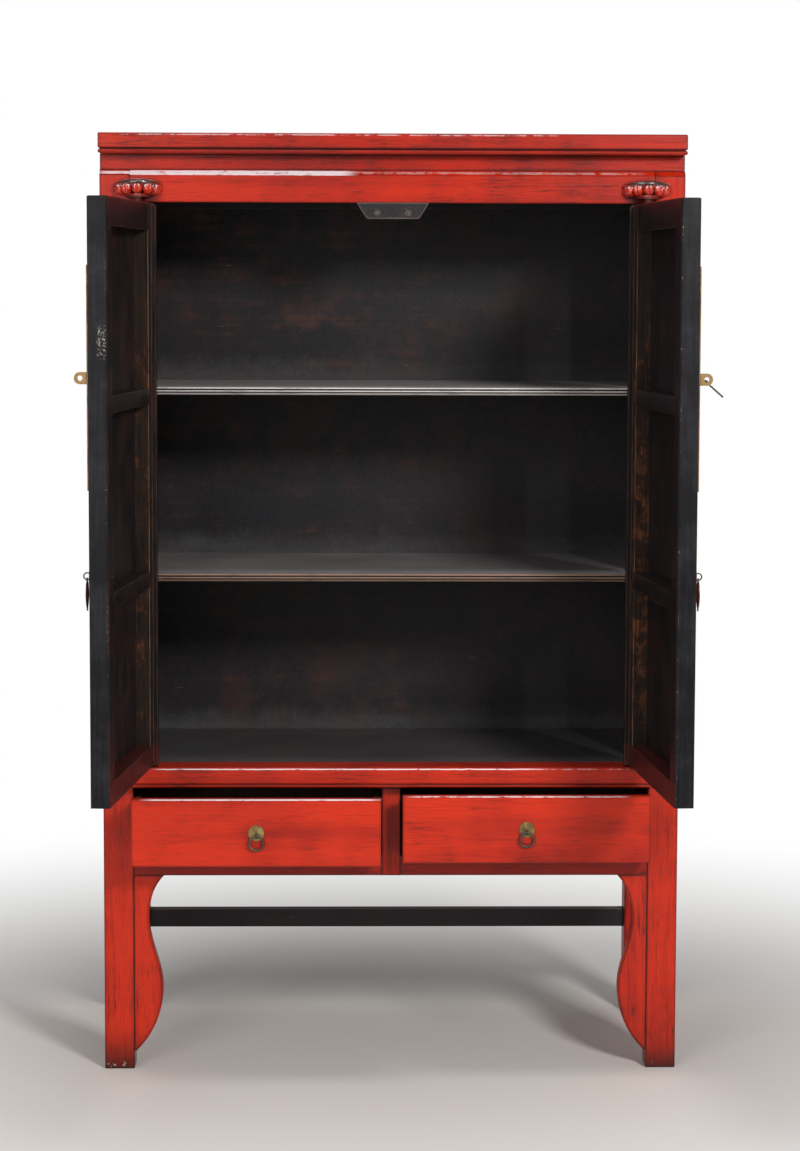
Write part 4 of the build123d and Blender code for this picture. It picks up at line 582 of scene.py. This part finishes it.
def door_finish(name, colours, side, grain):
    """Doors: red on the outer face, satin black on the edges, worn brown black inside."""
    shader = Shader(name)
    point = shader.point()
    pivot = DOOR_PIVOT[side]
    local = shader.node(
        "ShaderNodeVectorMath", {"operation": "SUBTRACT"}, i0=point, i1=(pivot.x, pivot.y, 0.0)
    ).outputs[0]
    door = shader.node(
        "ShaderNodeVectorRotate", {"rotation_type": "Z_AXIS"}, Vector=local, Angle=-radians(DOOR_TURN[side])
    ).outputs[0]
    u, v, z = shader.split(door)
    u = u * DOOR_HAND[side]
    out = v * -1
    along = grain_vector(shader, door, grain)
    red, cloud, fine, streak = lacquer_colour(shader, colours, point, along, 0.0)

    # Inner face: black over brown, with the hinge stile rubbed to bare wood
    spots = shader.noise(point, 15, 5, 0.7)
    # The left door's inner face shows more brown than the right's: partly wear, partly painted light, as it
    # faces the light
    rubbed = shader.ramp(spots + (streak - 0.5) * 0.7, 0.36, 0.75) * (0.55 if side == "left" else 0.3)
    inside = shader.mix(shader.clamp(rubbed), colours.black, colours.brown)
    stile = within(shader, u, 0.0, STILE_WIDTH + 0.0012)
    inside = shader.mix(stile * shader.ramp(streak, 0.34, 0.62), inside, colours.old_brown)
    bare_low, bare_high = (0.46, 0.66) if side == "right" else (0.52, 0.76)
    bared = shader.noise(point, 34, 5, 0.72, 0.6) + (fine - 0.5) * 0.35
    bared = shader.ramp(bared, bare_low, bare_high) * within(shader, z, 0.70, 1.40, 0.12)
    inside = shader.mix(stile * bared * (0.15 + shader.ramp(fine, 0.36, 0.60) * 0.75), inside, colours.rust)
    inside = shader.mix(shader.clamp(0.05 * (0.5 + cloud)), inside, colours.dust)
    # Maroon on the inner face of the bottom rail, and a maroon strip along the top edge that is a painted
    # reflection of the red rail
    maroon_bands = (1 - shader.ramp(z, BOTTOM_RAIL_TOP, BOTTOM_RAIL_TOP + 0.002)) * 0.7
    maroon_bands = shader.clamp(maroon_bands + shader.ramp(z, DOOR_HIGH - 0.006, DOOR_HIGH))
    inside = shader.mix(maroon_bands * shader.ramp(fine, 0.35, 0.6), inside, colours.maroon)

    # Edges: satin black with lighter patches of painted sheen, and pale chips
    glossy = shader.clamp(shader.ramp(spots + (streak - 0.5) * 0.6, 0.35, 0.75))
    satin = shader.mix(glossy, colours.black, colours.satin)
    chips = shader.noise(point, 260, 5, 0.75)
    on_lock_edge = u > LOCK_EDGE - EDGE_SKIN
    if side == "left":
        scuff = within(shader, z, *SCUFF, 0.008) * (out < -0.006) * shader.ramp(chips, 0.54, 0.60)
        satin = shader.mix(scuff * on_lock_edge, satin, colours.bare)
    flecks = (out < INNER_FACE + 0.004) * shader.ramp(chips + (spots - 0.5) * 0.3, 0.60, 0.66)
    satin = shader.mix(flecks * 0.7, satin, colours.bare)
    on_edge = shader.clamp(on_lock_edge + (u < HINGE_EDGE + 0.0005))
    body = shader.mix(on_edge, inside, satin)

    # Outer face: red, with every arris worn
    outer = out > OUTER_FACE - 0.0001
    body = shader.mix(outer, body, red)
    edge = shader.ramp(shader.edge(0.004) + (spots - 0.5) * 0.12, 0.03, 0.22)
    rim = shader.ramp(shader.edge(0.002), 0.03, 0.12) * shader.ramp(fine, 0.40, 0.58)
    rim = shader.mix(rim, colours.brown, colours.copper)
    worn = edge * (0.45 + outer * 0.5) * (1 - on_edge * 0.6)
    body = shader.mix(worn, body, shader.mix(outer, rim, colours.line))
    arris_line = within(shader, u, STILE_WIDTH - 0.0016, STILE_WIDTH + 0.0008, 0.0004)
    arris_line = arris_line * (out < INNER_FACE + 0.0012)
    body = shader.mix(arris_line * shader.ramp(fine, 0.40, 0.55) * 0.45, body, colours.copper)
    roughness = shader.clamp(0.40 + (cloud - 0.5) * 0.2 + (fine - 0.5) * 0.16)
    height = streak * 0.5 + fine * 0.35 + cloud
    return shader.finish(body, roughness, height, 0.0005, rounding=0.0016, Specular_IOR_Level=0.15)


def drawer_wood(name, colours, grain):
    """Plain brown wood with open grain, with painted shade in the corners."""
    shader = Shader(name)
    point = shader.point()
    along = grain_vector(shader, point, grain)
    rings = shader.noise(along, 60, 6, 0.6, 0.6)
    fine = shader.noise(along, 500, 4, 0.6)
    cloud = shader.noise(point, 6, 3, 0.5)
    dark = tuple(channel * 0.38 for channel in colours.wood)
    open_grain = shader.ramp(rings, 0.35, 0.7) * 0.6 + (fine - 0.4) * 0.5
    body = shader.mix(shader.clamp(open_grain), colours.wood, dark)
    # Painted shade: near black in corners and recesses
    body = shader.mix(shader.ramp(shader.crevice(0.02), 0.3, 0.9) * 0.6, body, colours.black)
    roughness = shader.clamp(0.62 + (cloud - 0.5) * 0.2)
    return shader.finish(body, roughness, rings + fine * 0.4, 0.0004, IOR=1.45)


def aged_brass(name, colours, sheet, rough, blackened=False):
    """Brass sheet with a brown patina, brighter where it is rubbed, or with blackened edges."""
    shader = Shader(name)
    point = shader.point()
    cloud = shader.noise(point, 28, 5, 0.65)
    spots = shader.noise(point, 160, 5, 0.7)
    hammer = shader.noise(point, 75, 2, 0.4)
    rubbed = shader.ramp(shader.edge(0.0012) + (spots - 0.5) * 0.2, 0.05, 0.4)
    patina = shader.ramp(cloud + (spots - 0.5) * 0.4, 0.38, 0.72) * 0.8 + shader.crevice(0.004) * 0.6
    patina = shader.clamp(patina)
    body = shader.mix(patina, sheet, colours.tarnish)
    bright = tuple(min(1.0, channel * 1.5) for channel in sheet)
    if blackened:
        rubbed = shader.ramp(shader.edge(0.0016), 0.02, 0.10) * 1.6
        bright = tuple(colours.black)
    body = shader.mix(shader.clamp(rubbed * 0.6), body, bright)
    specks = shader.ramp(shader.noise(point, 320, 3, 0.6), 0.56, 0.68)
    body = shader.mix(specks * 0.5, body, colours.tarnish)
    roughness = shader.clamp(rough + patina * 0.22 - rubbed * 0.12)
    return shader.finish(body, roughness, hammer + spots * 0.3, 0.00025, Metallic=0.9)


def dark_iron(name, colours):
    """Blackened iron with a bronze sheen on the rubbed side."""
    shader = Shader(name)
    point = shader.point()
    spots = shader.noise(point, 240, 5, 0.7)
    cloud = shader.noise(point, 40, 4, 0.6)
    rubbed = shader.clamp(shader.ramp(cloud, 0.5, 0.75) * 0.5)
    warm = tuple(a * 0.6 + b * 0.5 for a, b in zip(colours.iron, colours.brass))
    body = shader.mix(rubbed, colours.iron, warm)
    roughness = shader.clamp(0.42 + (spots - 0.5) * 0.3)
    return shader.finish(body, roughness, spots, 0.0002, Metallic=0.85)


# ---- Modelling helpers ---------------------------------------------------------------------------
def pick(obj, kind, test):
    """Enter edit mode with only the vertices, edges or faces selected that pass the test."""
    bpy.ops.object.mode_set(mode="EDIT")
    bpy.ops.mesh.select_mode(type=kind)
    bpy.ops.mesh.select_all(action="DESELECT")
    bpy.ops.object.mode_set(mode="OBJECT")
    group = {"VERT": obj.data.vertices, "EDGE": obj.data.edges, "FACE": obj.data.polygons}[kind]
    for item in group:
        item.select = bool(test(item))
    bpy.ops.object.mode_set(mode="EDIT")


def added(name, primitive, **sizes):
    """Add a primitive as the only selected object."""
    if bpy.context.mode != "OBJECT":
        bpy.ops.object.mode_set(mode="OBJECT")
    bpy.ops.object.select_all(action="DESELECT")
    primitive(**sizes)
    obj = bpy.context.active_object
    obj.name = name
    obj.data.name = name
    return obj


def only(*objects):
    """Select these objects alone; the first is active."""
    bpy.ops.object.select_all(action="DESELECT")
    for obj in objects:
        obj.select_set(True)
    bpy.context.view_layer.objects.active = objects[0]


def settle(obj):
    """Put the object's place, turn and size into its mesh."""
    only(obj)
    bpy.ops.object.transform_apply(location=True, rotation=True, scale=True)


def combine(target, tool, operation):
    """Boolean of two closed shapes; the tool is used up."""
    only(target)
    modifier = target.modifiers.new(operation.title(), "BOOLEAN")
    modifier.operation = operation
    modifier.solver = "EXACT"
    modifier.object = tool
    bpy.ops.object.modifier_apply(modifier=modifier.name)
    bpy.data.objects.remove(tool)


def smooth(obj, angle):
    only(obj)
    bpy.ops.object.shade_smooth_by_angle(angle=radians(angle))


# ---- Operators -----------------------------------------------------------------------------------
class CABINET_OT_carcass(bpy.types.Operator):
    """Lacquer the posts, rails, mouldings, spandrels and panels"""

    bl_idname = "cabinet.carcass"
    bl_label = "Carcass finish"

    def execute(self, context):
        colours, sizes = context.scene.cabinet_colours, context.scene.cabinet_sizes
        uprights = [name for name in NODES if name.endswith("_post")]
        uprights += ["front_spandrels", "side_spandrels", "drawer_divider", "side_panels"]
        # Each part's painted shade darkens it as if in shade: most the lower rail under the drawers, the
        # frieze under the cornice and the cornice
        for finish, nodes, grain, settings in (
            ("upright", uprights, "Z", {"painted_shade": 0.05, "worn_below": 0.09, "painted_highlights": POST_PAINTED_HIGHLIGHTS}),
            ("level", ["mid_front_rail"], "X", {"line": 0.45, "rounding": 0.004}),
            ("sill", ["sill_moulding"], "X", {"line": 0.5, "rounding": 0.004, "painted_highlights": SILL_PAINTED_HIGHLIGHTS}),
            (
                "top_rail", ["top_front_rail"], "X",
                {"line": 0.3, "rounding": 0.003, "painted_highlights": RAIL_PAINTED_HIGHLIGHTS, "lotus_shadow": PAINTED_LOTUS_SHADOW},
            ),
            (
                "cornice", ["cornice_frame"], "X",
                {"painted_shade": 0.22, "line": 0.9, "rounding": 0.003, "painted_highlights": CORNICE_PAINTED_HIGHLIGHTS},
            ),
            ("lower_rail", ["lower_front_rail"], "X", {"painted_shade": 0.75, "line": 0.8}),
            ("frieze", ["frieze_boards"], "X", {"painted_shade": 0.45}),
            ("side_rails", ["side_rails"], "Y", {"painted_shade": 0.1}),
        ):
            dress(nodes, red_lacquer(f"lacquer_{finish}", colours, sizes, grain, **settings))
        tops = (DECK_TOP, LOWER_TOP, UPPER_TOP)
        for finish, nodes, settings in (
            ("back", ["back_panels"], {"dust": 0.10, "brown": 0.45, "gloss": 0.52, "tops": tops}),
            ("inside", ["back_rails", "shelf_cleats"], {"dust": 0.30, "brown": 0.5}),
            ("outside", ["back_stretcher", "top_board"], {"dust": 0.35, "brown": 0.2}),
            ("stop_block", ["door_stop_block"], {"dust": 0.15, "brown": 0.2, "rim": 0.6}),
        ):
            dress(nodes, black_lacquer(f"black_{finish}", colours, sizes, "X", **settings))
        for node, dust, top, reed_wear_and_highlight in (
            ("upper_shelf", 1.05, UPPER_TOP, colours.upper_reed_wear_and_highlight),
            ("lower_shelf", 0.58, LOWER_TOP, colours.copper),
            ("deck_board", 0.16, NO_REEDS, colours.copper),
        ):
            beads = (SHELF_FRONT, SHELF_BACK - 0.0035, top, reed_wear_and_highlight)
            settings = {"dust": dust, "brown": 0.4, "beads": beads}
            dress([node], black_lacquer(f"black_{node}", colours, sizes, "X", **settings))
        return {"FINISHED"}


class CABINET_OT_doors(bpy.types.Operator):
    """Lacquer the two doors, red outside and black inside"""

    bl_idname = "cabinet.doors"
    bl_label = "Door finish"

    def execute(self, context):
        colours = context.scene.cabinet_colours
        for side in DOOR_TURN:
            upright = door_finish(f"{side}_door_upright", colours, side, "Z")
            across = door_finish(f"{side}_door_across", colours, side, "X")
            dress([f"{side}_door_hinge_stile", f"{side}_door_lock_stile", f"{side}_door_panel"], upright)
            dress([f"{side}_door_rails"], across)
        return {"FINISHED"}


class CABINET_OT_drawers(bpy.types.Operator):
    """Lacquer the drawer fronts and finish the boxes in plain wood"""

    bl_idname = "cabinet.drawers"
    bl_label = "Drawer finish"

    def execute(self, context):
        colours, sizes = context.scene.cabinet_colours, context.scene.cabinet_sizes
        # The drawer fronts get a negative painted shade: painted lighter, as lit
        settings = {"painted_shade": -0.12, "line": 0.7, "painted_highlights": DRAWER_PAINTED_HIGHLIGHTS, "rim": 0.5}
        front = red_lacquer("lacquer_drawer", colours, sizes, "X", **settings)
        wood = drawer_wood("drawer_wood", colours, "Y")
        for side in DOOR_TURN:
            dress([f"{side}_drawer_front"], front)
            dress([f"{side}_drawer_box", f"{side}_drawer_bottom"], wood)
        dress(["drawer_runners"], wood)
        return {"FINISHED"}


class CABINET_OT_metal(bpy.types.Operator):
    """Finish the brass plates and hasps, the iron rings, drops and pin, and the catches"""

    bl_idname = "cabinet.metal"
    bl_label = "Metalwork finish"

    def execute(self, context):
        colours = context.scene.cabinet_colours
        brown = aged_brass("brown_brass", colours, colours.brown_brass, 0.42)
        sheet = aged_brass("plate_brass", colours, colours.brown_brass, 0.42, blackened=True)
        olive = aged_brass("olive_brass", colours, colours.brass, 0.48)
        iron = dark_iron("dark_iron", colours)
        for material, pieces in (
            (sheet, ("lock_plate", "pull_plate")),
            (brown, ("plate_nails", "hasp")),
            (olive, ("ring_plate",)),
            (iron, ("pull_staple", "pull_drop", "ring_staple", "pull_ring")),
        ):
            dress([f"{side}_{piece}" for side in DOOR_TURN for piece in pieces], material)
        dress(["lock_pin", "stop_catches"], iron)
        return {"FINISHED"}


def ease_bands(obj, axis, start, end, move, bands=8):
    """Carry the points between two planes across an axis ever further along move, which end reaches."""
    for step in range(bands):
        near = start + (end - start) * (step + 0.5) / bands
        far = start + (end - start) * (step + 1.5) / bands if step < bands - 1 else end * 2 - start
        share = ((step + 1) / bands) ** 2
        low, high = min(near, far), max(near, far)
        pick(obj, "VERT", lambda vertex: low <= vertex.co[axis] < high)
        bpy.ops.transform.translate(value=[part * share for part in move])
        bpy.ops.object.mode_set(mode="OBJECT")


def half_round(name, centre_x, half_width, depth, low, high, foot=1.0):
    """Solid half ellipse against the front of the top rail, narrower at its foot by the share foot."""
    solid = added(
        name, bpy.ops.mesh.primitive_cylinder_add,
        vertices=72, radius=1, depth=high - low, location=(centre_x, FRONT, (low + high) / 2),
    )
    solid.scale = (half_width, depth, 1)
    settle(solid)
    if foot != 1.0:
        pick(solid, "VERT", lambda vertex: vertex.co.z < (low + high) / 2)
        bpy.ops.transform.resize(value=(foot, foot, 1), center_override=(centre_x, FRONT, low))
        bpy.ops.object.mode_set(mode="OBJECT")
    pick(solid, "VERT", lambda vertex: True)
    bpy.ops.mesh.bisect(
        plane_co=(centre_x, FRONT, low), plane_no=(0, 1, 0),
        use_fill=True, clear_outer=True, clear_inner=False,
    )
    bpy.ops.object.mode_set(mode="OBJECT")
    return solid


def carve_petal(centre_x, sizes):
    """One petal at the front of the block: cupped, drawn in to the collar, with a groove down its face."""
    low, high = LOTUS_BOTTOM + 0.0035, LOTUS_TOP - LOTUS_CAP + 0.0015
    middle = (low + high) / 2
    radius = sizes.lotus_petal / 2
    out = FRONT - LOTUS_RING_DEPTH
    petal = added(
        "petal", bpy.ops.mesh.primitive_uv_sphere_add,
        segments=24, ring_count=16, radius=1, location=(centre_x, out, middle), rotation=(0, 0, -pi / 2),
    )
    petal.scale = (radius, radius, (high - low) / 2)
    settle(petal)
    # Groove down the middle of the face, from a little above the foot
    pick(petal, "VERT", lambda v: (
        abs(v.co.x - centre_x) < 0.0006 and v.co.y < out - 0.001 and v.co.z > low + 0.005
    ))
    bpy.ops.transform.translate(value=(0, sizes.lotus_groove, 0))
    bpy.ops.object.mode_set(mode="OBJECT")
    # Lower half leans back to the collar and narrows
    ease_bands(petal, 2, middle, low, (0, 0.0065, 0), bands=6)
    pick(petal, "VERT", lambda v: v.co.z < middle - 0.004)
    bpy.ops.transform.resize(value=(0.88, 1, 1), center_override=(centre_x, out, middle))
    bpy.ops.object.mode_set(mode="OBJECT")
    # Tip curls outwards
    ease_bands(petal, 2, middle + 0.004, high, (0, -0.0012, 0), bands=3)
    only(petal)
    rounded = petal.modifiers.new("Round", "SUBSURF")
    rounded.levels = rounded.render_levels = 1
    bpy.ops.object.modifier_apply(modifier=rounded.name)
    return petal


def carve_cap(centre_x):
    """Domed cap over the petals, thinner and drooping at both ends, with a rolled lip."""
    low, rim = LOTUS_TOP - LOTUS_CAP, LOTUS_TOP - 0.0045
    high = rim
    cap = half_round("cap", centre_x, LOTUS_HALF_WIDTH - 0.0005, LOTUS_DEPTH - 0.0020, low, high)
    for share, rise in ((0.88, 0.0020), (0.80, 0.0015), (0.68, 0.0009)):
        pick(cap, "FACE", lambda face: face.normal.z > 0.99 and face.center.z > high - 0.0002)
        bpy.ops.mesh.extrude_region_move(TRANSFORM_OT_translate={"value": (0, 0, rise)})
        bpy.ops.transform.resize(value=(share, share, 1), center_override=(centre_x, FRONT, high))
        bpy.ops.object.mode_set(mode="OBJECT")
        high += rise
    pick(cap, "EDGE", lambda edge: lip_edge(cap, edge, low, rim))
    bpy.ops.mesh.bevel(offset=0.0016, segments=3, affect="EDGES")
    bpy.ops.object.mode_set(mode="OBJECT")
    for hand in (-1, 1):
        start, end = centre_x + hand * 0.006, centre_x + hand * LOTUS_HALF_WIDTH
        ease_bands(cap, 0, start, end, (0, 0, -0.0048), bands=10)
    return cap


def lip_edge(solid, edge, *heights):
    """True on an edge of the curved rim at one of the given heights."""
    ends = [solid.data.vertices[index].co for index in edge.vertices]
    level = any(all(abs(end.z - height) < ON_PLANE for end in ends) for height in heights)
    return level and min(end.y for end in ends) < FRONT - BEHIND_FACE


def carve_block(name, centre_x, sizes):
    """One lotus block: collar, bowl, ring of petals, cap, and the socket of the door's top pivot."""
    low, high = LOTUS_BOTTOM + LOTUS_COLLAR_HEIGHT, LOTUS_TOP - LOTUS_CAP + 0.001
    block = half_round(
        name, centre_x, LOTUS_RING_WIDTH + 0.0025, LOTUS_RING_DEPTH + 0.0045, low, high, foot=0.66
    )
    collar = half_round("collar", centre_x, LOTUS_COLLAR / 2, 0.0385, LOTUS_BOTTOM, low + 0.002)
    combine(block, collar, "UNION")
    model = carve_petal(centre_x, sizes)
    for turn in range(-PETALS_A_SIDE, PETALS_A_SIDE + 1):
        angle = radians(LOTUS_PETAL_STEP * turn)
        petal = model.copy()
        petal.data = model.data.copy()
        bpy.context.scene.collection.objects.link(petal)
        across = centre_x + LOTUS_RING_WIDTH * sin(angle)
        along = FRONT - LOTUS_RING_DEPTH * cos(angle)
        spin = Matrix.Rotation(angle, 4, "Z")
        start = Vector((centre_x, FRONT - LOTUS_RING_DEPTH, 0))
        petal.matrix_world = Matrix.Translation((across, along, 0)) @ spin @ Matrix.Translation(-start)
        settle(petal)
        combine(block, petal, "UNION")
    bpy.data.objects.remove(model)
    combine(block, carve_cap(centre_x), "UNION")
    pick(block, "VERT", lambda vertex: True)
    bpy.ops.mesh.bisect(
        plane_co=(centre_x, FRONT, 0), plane_no=(0, 1, 0),
        use_fill=True, clear_outer=True, clear_inner=False,
    )
    bpy.ops.object.mode_set(mode="OBJECT")
    drill = added(
        "socket", bpy.ops.mesh.primitive_cylinder_add,
        vertices=48, radius=LOTUS_SOCKET, depth=LOTUS_DRILL,
        location=(centre_x, DOOR_PIVOT["left"].y, LOTUS_BOTTOM + LOTUS_SOCKET_DEPTH - LOTUS_DRILL / 2),
    )
    combine(block, drill, "DIFFERENCE")
    return block


class CABINET_OT_lotus(bpy.types.Operator):
    """Carve the two lotus blocks that hold the top pivots of the doors"""

    bl_idname = "cabinet.lotus"
    bl_label = "Lotus blocks"

    def execute(self, context):
        colours, sizes = context.scene.cabinet_colours, context.scene.cabinet_sizes
        blocks = [carve_block(f"lotus_block_{side}", DOOR_PIVOT[side].x, sizes) for side in DOOR_TURN]
        only(*blocks)
        bpy.ops.object.join()
        carved = bpy.context.active_object
        carved.name = carved.data.name = "carved_lotus_blocks"
        carved.data.materials.clear()
        carved.data.materials.append(lotus_lacquer("lacquer_lotus", colours))
        smooth(carved, 40)
        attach(carved, "cabinet")
        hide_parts("lotus_pivot_blocks")
        return {"FINISHED"}


class CABINET_OT_stage(bpy.types.Operator):
    """Set the floor, the lamps and the camera"""

    bl_idname = "cabinet.stage"
    bl_label = "Stage"

    def execute(self, context):
        colours, sizes = context.scene.cabinet_colours, context.scene.cabinet_sizes
        floor = added(
            "studio_floor", bpy.ops.mesh.primitive_circle_add,
            vertices=96, radius=FLOOR_RADIUS, fill_type="NGON",
        )
        shader = Shader("studio_floor")
        point = shader.point()
        x, y, _ = shader.split(point)
        away = shader.ramp(shader.math("SQRT", x * x + y * y), *FLOOR_FADE)
        seen = shader.node("ShaderNodeLightPath")
        fade = away * Wire(shader, seen.outputs["Is Camera Ray"])
        matt = shader.node("ShaderNodeBsdfPrincipled", None, Base_Color=(*colours.floor, 1), Roughness=0.6)
        glow = shader.node("ShaderNodeEmission", None, Color=(1, 1, 1, 1), Strength=1.0)
        mixed = shader.node("ShaderNodeMixShader", None, i0=fade, i1=matt.outputs[0], i2=glow.outputs[0])
        shader.node("ShaderNodeOutputMaterial", None, Surface=mixed.outputs[0])
        floor.data.materials.append(shader.material)

        world = bpy.data.worlds.new("studio")
        context.scene.world = world
        world.use_nodes = True
        tree = world.node_tree
        tree.nodes.clear()
        path = tree.nodes.new("ShaderNodeLightPath")
        mixer = tree.nodes.new("ShaderNodeMixShader")
        output = tree.nodes.new("ShaderNodeOutputWorld")
        tree.links.new(path.outputs["Is Camera Ray"], mixer.inputs[0])
        for index, strength in ((1, WORLD_LIGHT), (2, 1.0)):
            white = tree.nodes.new("ShaderNodeBackground")
            white.inputs[0].default_value = (1, 1, 1, 1)
            white.inputs[1].default_value = strength
            tree.links.new(white.outputs[0], mixer.inputs[index])
        tree.links.new(mixer.outputs[0], output.inputs[0])

        for name, place, width, height, power in LAMPS:
            lamp = bpy.data.lights.new(name, "AREA")
            lamp.shape = "RECTANGLE"
            lamp.size, lamp.size_y = width, height
            lamp.energy = power
            holder = bpy.data.objects.new(name, lamp)
            context.scene.collection.objects.link(holder)
            holder.location = place
            holder.rotation_euler = (LAMP_TARGET - Vector(place)).to_track_quat("-Z", "Y").to_euler()

        eye = bpy.data.cameras.new("camera")
        eye.lens = CAMERA_LENS
        eye.sensor_width = CAMERA_SENSOR
        camera = bpy.data.objects.new("camera", eye)
        context.scene.collection.objects.link(camera)
        camera.location = (CAMERA_SIDE, -sizes.camera_distance, sizes.camera_height)
        pitch, yaw, roll = (radians(angle) for angle in CAMERA_TURN)
        aim = Matrix.Rotation(-yaw, 4, "Z") @ Matrix.Rotation(pi / 2 - pitch, 4, "X")
        camera.rotation_euler = (aim @ Matrix.Rotation(roll, 4, "Z")).to_euler()
        context.scene.camera = camera
        context.scene.view_settings.view_transform = "Standard"
        return {"FINISHED"}


class CABINET_PT_panel(bpy.types.Panel):
    """Sidebar panel that lists the steps and values of the cabinet"""

    bl_idname = "CABINET_PT_panel"
    bl_label = "Wedding cabinet"
    bl_space_type = "VIEW_3D"
    bl_region_type = "UI"
    bl_category = "Cabinet"

    def draw(self, context):
        column = self.layout.column(align=True)
        for step in STEPS:
            column.operator(step.bl_idname)
        for group in (context.scene.cabinet_colours, context.scene.cabinet_sizes):
            box = self.layout.box()
            for key in group.__annotations__:
                box.prop(group, key)


STEPS = (
    CABINET_OT_carcass,
    CABINET_OT_doors,
    CABINET_OT_drawers,
    CABINET_OT_metal,
    CABINET_OT_lotus,
    CABINET_OT_stage,
)
CLASSES = (CabinetColours, CabinetSizes, *STEPS, CABINET_PT_panel)


def register():
    for item in CLASSES:
        bpy.utils.register_class(item)
    bpy.types.Scene.cabinet_colours = bpy.props.PointerProperty(type=CabinetColours)
    bpy.types.Scene.cabinet_sizes = bpy.props.PointerProperty(type=CabinetSizes)


def unregister():
    del bpy.types.Scene.cabinet_sizes
    del bpy.types.Scene.cabinet_colours
    for item in reversed(CLASSES):
        bpy.utils.unregister_class(item)


def main():
    register()
    bpy.ops.cabinet.carcass()
    bpy.ops.cabinet.doors()
    bpy.ops.cabinet.drawers()
    bpy.ops.cabinet.metal()
    bpy.ops.cabinet.lotus()
    bpy.ops.cabinet.stage()


if __name__ == "__main__":
    main()
